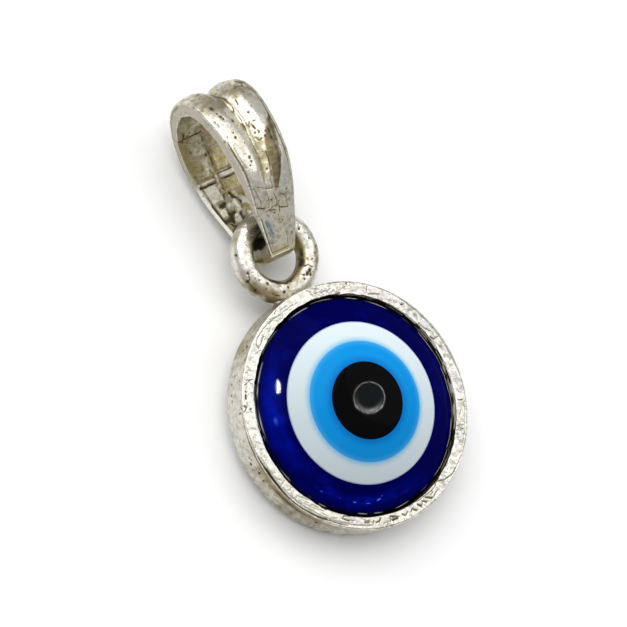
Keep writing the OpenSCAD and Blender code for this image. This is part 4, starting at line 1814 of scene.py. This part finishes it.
    def dark_reflection_stripe(self, band: BandMap, points: np.ndarray) -> np.ndarray:
        """Darkness of the slanting stripe on the front, a painted dark reflection, which widens upwards
        and ends in ragged tips.

        Args:
            band: where each point lies.
            points: the finished surface, before it is hung.
        Returns:
            Darkness from 0 to 1.
        """
        y = band.y
        right = band.x - 0.20 - (y - 3.67) * 0.264
        off = right - band.jog
        half = 0.21 + 0.30 * ramp(y, 3.4, 5.4)
        across = smooth((half + off) / 0.22) * smooth((half - off) / 0.10)
        along = ramp(y + band.jog * 3, 3.4, 4.0) * ramp(y - band.gaps * 0.25 - off, 7.45, 6.85)
        streaks = 0.88 + 0.14 * band.grain.at(points * (0.5, 2.2, 1.0), 0.22)
        return 0.80 * band.front * across * along * (streaks + 0.16 * bump(right - 0.24, 0.12))

    def film(self, band: BandMap, points: np.ndarray, soil: np.ndarray) -> np.ndarray:
        """Grey film on the outer face: at both ends, in blotches, in spots low on the front, and stains.

        Args:
            band: where each point lies.
            points: the finished surface, before it is hung.
            soil: darkness of the soft stains.
        Returns:
            Darkness, at most 0.6.
        """
        y = band.y
        ends = 0.26 * ramp(y, 8.6, 9.4) + 0.5 * ramp(y, 0.25, 0.10)
        blotches = 0.16 * smooth(band.grain.at(points, 1.3) + 0.1)
        spots = smooth(band.grain.at(points, 0.17) * 1.4 - 0.1) * (0.3 + 0.7 * ramp(y, 1.0, 1.6))
        old = band.front * ramp(y, 3.8, 2.4) * (0.04 + 0.40 * spots)
        total = band.face * (ends + blotches) + old + soil
        return np.minimum(total, 0.60) * (1 - 0.35 * ramp(y, 3.6, 2.8))

    def side_wear_and_painted_light(self, band: BandMap) -> tuple[np.ndarray, np.ndarray]:
        """Wear and painted light of the sides: painted shade along the outer edge, darker at the tail,
        and a pale rail on the strap that is a painted highlight.

        Args:
            band: where each point lies.
        Returns:
            Darkness and paleness.
        """
        # Painted shade along each side's outer edge
        outer = ramp(band.run - 0.2 * band.rough, 0.60, 0.10)
        dark = 0.02 + 0.25 * ramp(band.y, 3.0, 1.4) + outer * np.where(band.behind, 0.58, 0.22)
        # A painted highlight on the inner part of the back strap's sides, low on the loop
        rail = band.behind * ramp(band.run, 0.35, 0.60) * ramp(band.y, 6.0, 4.5)
        pale = (0.40 - 0.25 * outer * band.behind) * ramp(band.y, 0.7, 1.5) + rail * 0.60
        return band.sides * dark, band.sides * pale

    def build(self, place: CupFrame) -> None:
        """Makes the bail's one piece.

        Args:
            place: where the cup's frame lies.
        """
        finish = Silver("cast_silver_of_the_bail", bright=(0.75, 0.725, 0.645), shade=(0.36, 0.335, 0.24))
        piece = self.skin().make(place, finish.material())
        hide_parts("bail")


@dataclass(frozen=True)
class Studio:
    """Floor, lights and camera.

    Fields: tilt, the angle between the eye's axis and the camera's; roll, how the camera is turned,
    as the direction of the pendant's length in the picture; distance and width, millimetres from the
    camera to the point that it looks at and the width of the view there; sight, that point; aim, the
    point that the lights face; sky, the even light's strength; glinting, the pieces that the small
    lamp lights.
    """

    tilt: float = 29.5
    roll: tuple[float, float] = (-0.4067, 0.9135)
    distance: float = 350.0
    width: float = 34.56
    sight: tuple[float, float, float] = (0.0, 5.56, 2.0)
    aim: tuple[float, float, float] = (0.0, 4.0, 0.0)
    sky: float = 0.545
    # Soft lights: direction in the cup's frame, distance, two sides in millimetres, brightness, colour
    lights: tuple[tuple[Any, ...], ...] = (
        ((-0.12, 0.65, 0.75), 420, 600, 600, 1.95, (1.0, 0.995, 0.98)),
        ((0.62, 0.05, 0.78), 430, 300, 300, 1.15, (1.0, 0.995, 0.98)),
    )
    # The small lamp that glints in the glass alone: direction, distance, two sides, brightness, roll
    lamp: tuple[Any, ...] = ((-0.266, 0.444, 0.841), 400, 58, 20, 1300.0, 26.0)
    glinting: tuple[str, ...] = ("cobalt_dome", "white_ring")

    def floor(self) -> None:
        """A plain pale floor under the part, 2.4 metres square."""
        half = 1.2
        mesh = bpy.data.meshes.new("floor")
        corners = [(-half, -half, 0), (half, -half, 0), (half, half, 0), (-half, half, 0)]
        mesh.from_pydata(corners, [], [(0, 1, 2, 3)])
        board = Board("pale_floor")
        cloud = board.noise(board.place(), 60.0, 1.0)
        colour = board.mix(cloud, (0.94, 0.94, 0.945), (0.945, 0.945, 0.945))
        mesh.materials.append(board.surface({"Base Color": colour, "Roughness": 0.9}))
        floor = bpy.data.objects.new("floor", mesh)
        bpy.context.scene.collection.objects.link(floor)

    def light(self, place: CupFrame, name: str, way: Any, away: float, sides: tuple[float, float],
              bright: float, roll: float = 0.0) -> bpy.types.Object:
        """An oval light that faces the pendant.

        Args:
            place: where the cup's frame lies.
            name: the light's name.
            way: direction in the cup's frame.
            away: distance in millimetres.
            sides: its two widths in millimetres.
            bright: radiance.
            roll: degrees by which it is turned about its own axis.
        Returns:
            The light.
        """
        data = bpy.data.lights.new(name, "AREA")
        data.shape = "ELLIPSE"
        data.size, data.size_y = sides[0] * MM, sides[1] * MM
        data.energy = bright * math.pi**2 / 4 * data.size * data.size_y
        light = bpy.data.objects.new(name, data)
        direction = Vector(place.direction(unit(np.array(way))))
        facing = direction.to_track_quat("Z", "Y").to_matrix().to_4x4()
        spot = Vector(place.point(self.aim)) + direction * away * MM
        turn = Matrix.Rotation(math.radians(roll), 4, "Z")
        light.matrix_world = Matrix.Translation(spot) @ facing @ turn
        bpy.context.scene.collection.objects.link(light)
        return light

    def shine(self, place: CupFrame) -> None:
        """Large soft lights, a small lamp that glints in the glass, and an even pale sky.

        Args:
            place: where the cup's frame lies.
        """
        for number, (way, away, wide, high, bright, colour) in enumerate(self.lights):
            light = self.light(place, f"soft_light_{number}", way, away, (wide, high), bright)
            light.data.color = colour
        way, away, wide, high, bright, roll = self.lamp
        lamp = self.light(place, "small_lamp", way, away, (wide, high), bright, roll)
        lamp.visible_diffuse = False
        glass = bpy.data.collections.new("glinting_glass")
        for name in self.glinting:
            glass.objects.link(bpy.data.objects[name])
        lamp.light_linking.receiver_collection = glass
        world = bpy.data.worlds.new("pale_sky")
        world.use_nodes = True
        sky = world.node_tree.nodes["Background"].inputs
        sky["Color"].default_value = (0.98, 0.99, 1.0, 1.0)
        sky["Strength"].default_value = self.sky
        bpy.context.scene.world = world

    def camera(self, place: CupFrame) -> None:
        """The camera at the picture's angle, a long way off with a long lens.

        Args:
            place: where the cup's frame lies.
        """
        tilt = math.radians(self.tilt)
        side = np.array([math.cos(tilt), 0, math.sin(tilt)])
        back = np.array([-math.sin(tilt), 0, math.cos(tilt)])
        x, y = self.roll
        length = np.array([0.0, 1.0, 0.0])
        right, up = side * y + length * x, length * y - side * x
        data = bpy.data.cameras.new("camera")
        data.sensor_width = 36.0
        data.lens = 36.0 * self.distance / self.width
        data.clip_start, data.clip_end = 0.02, 5.0
        camera = bpy.data.objects.new("camera", data)
        axes = np.array([place.direction(right), place.direction(up), place.direction(back)]).T
        at = place.point(np.array(self.sight) + back * self.distance)
        camera.matrix_world = Matrix.Translation(Vector(at)) @ Matrix(axes.tolist()).to_4x4()
        bpy.context.scene.collection.objects.link(camera)
        bpy.context.scene.camera = camera

    def build(self, place: CupFrame) -> None:
        """Sets the stage.

        Args:
            place: where the cup's frame lies.
        """
        self.floor()
        self.shine(place)
        self.camera(place)
        bpy.context.scene.view_settings.view_transform = "Standard"


def main() -> None:
    """Builds the pendant's pieces in order, then the stage."""
    logging.basicConfig(level=logging.INFO, format="%(name)s: %(message)s")
    place = CupFrame.from_record(frame["record"])
    for part in (Setting(), Eye(), Bail(), Studio()):
        part.build(place)
        LOG.info("%s done", type(part).__name__)


if __name__ == "__main__":
    main()
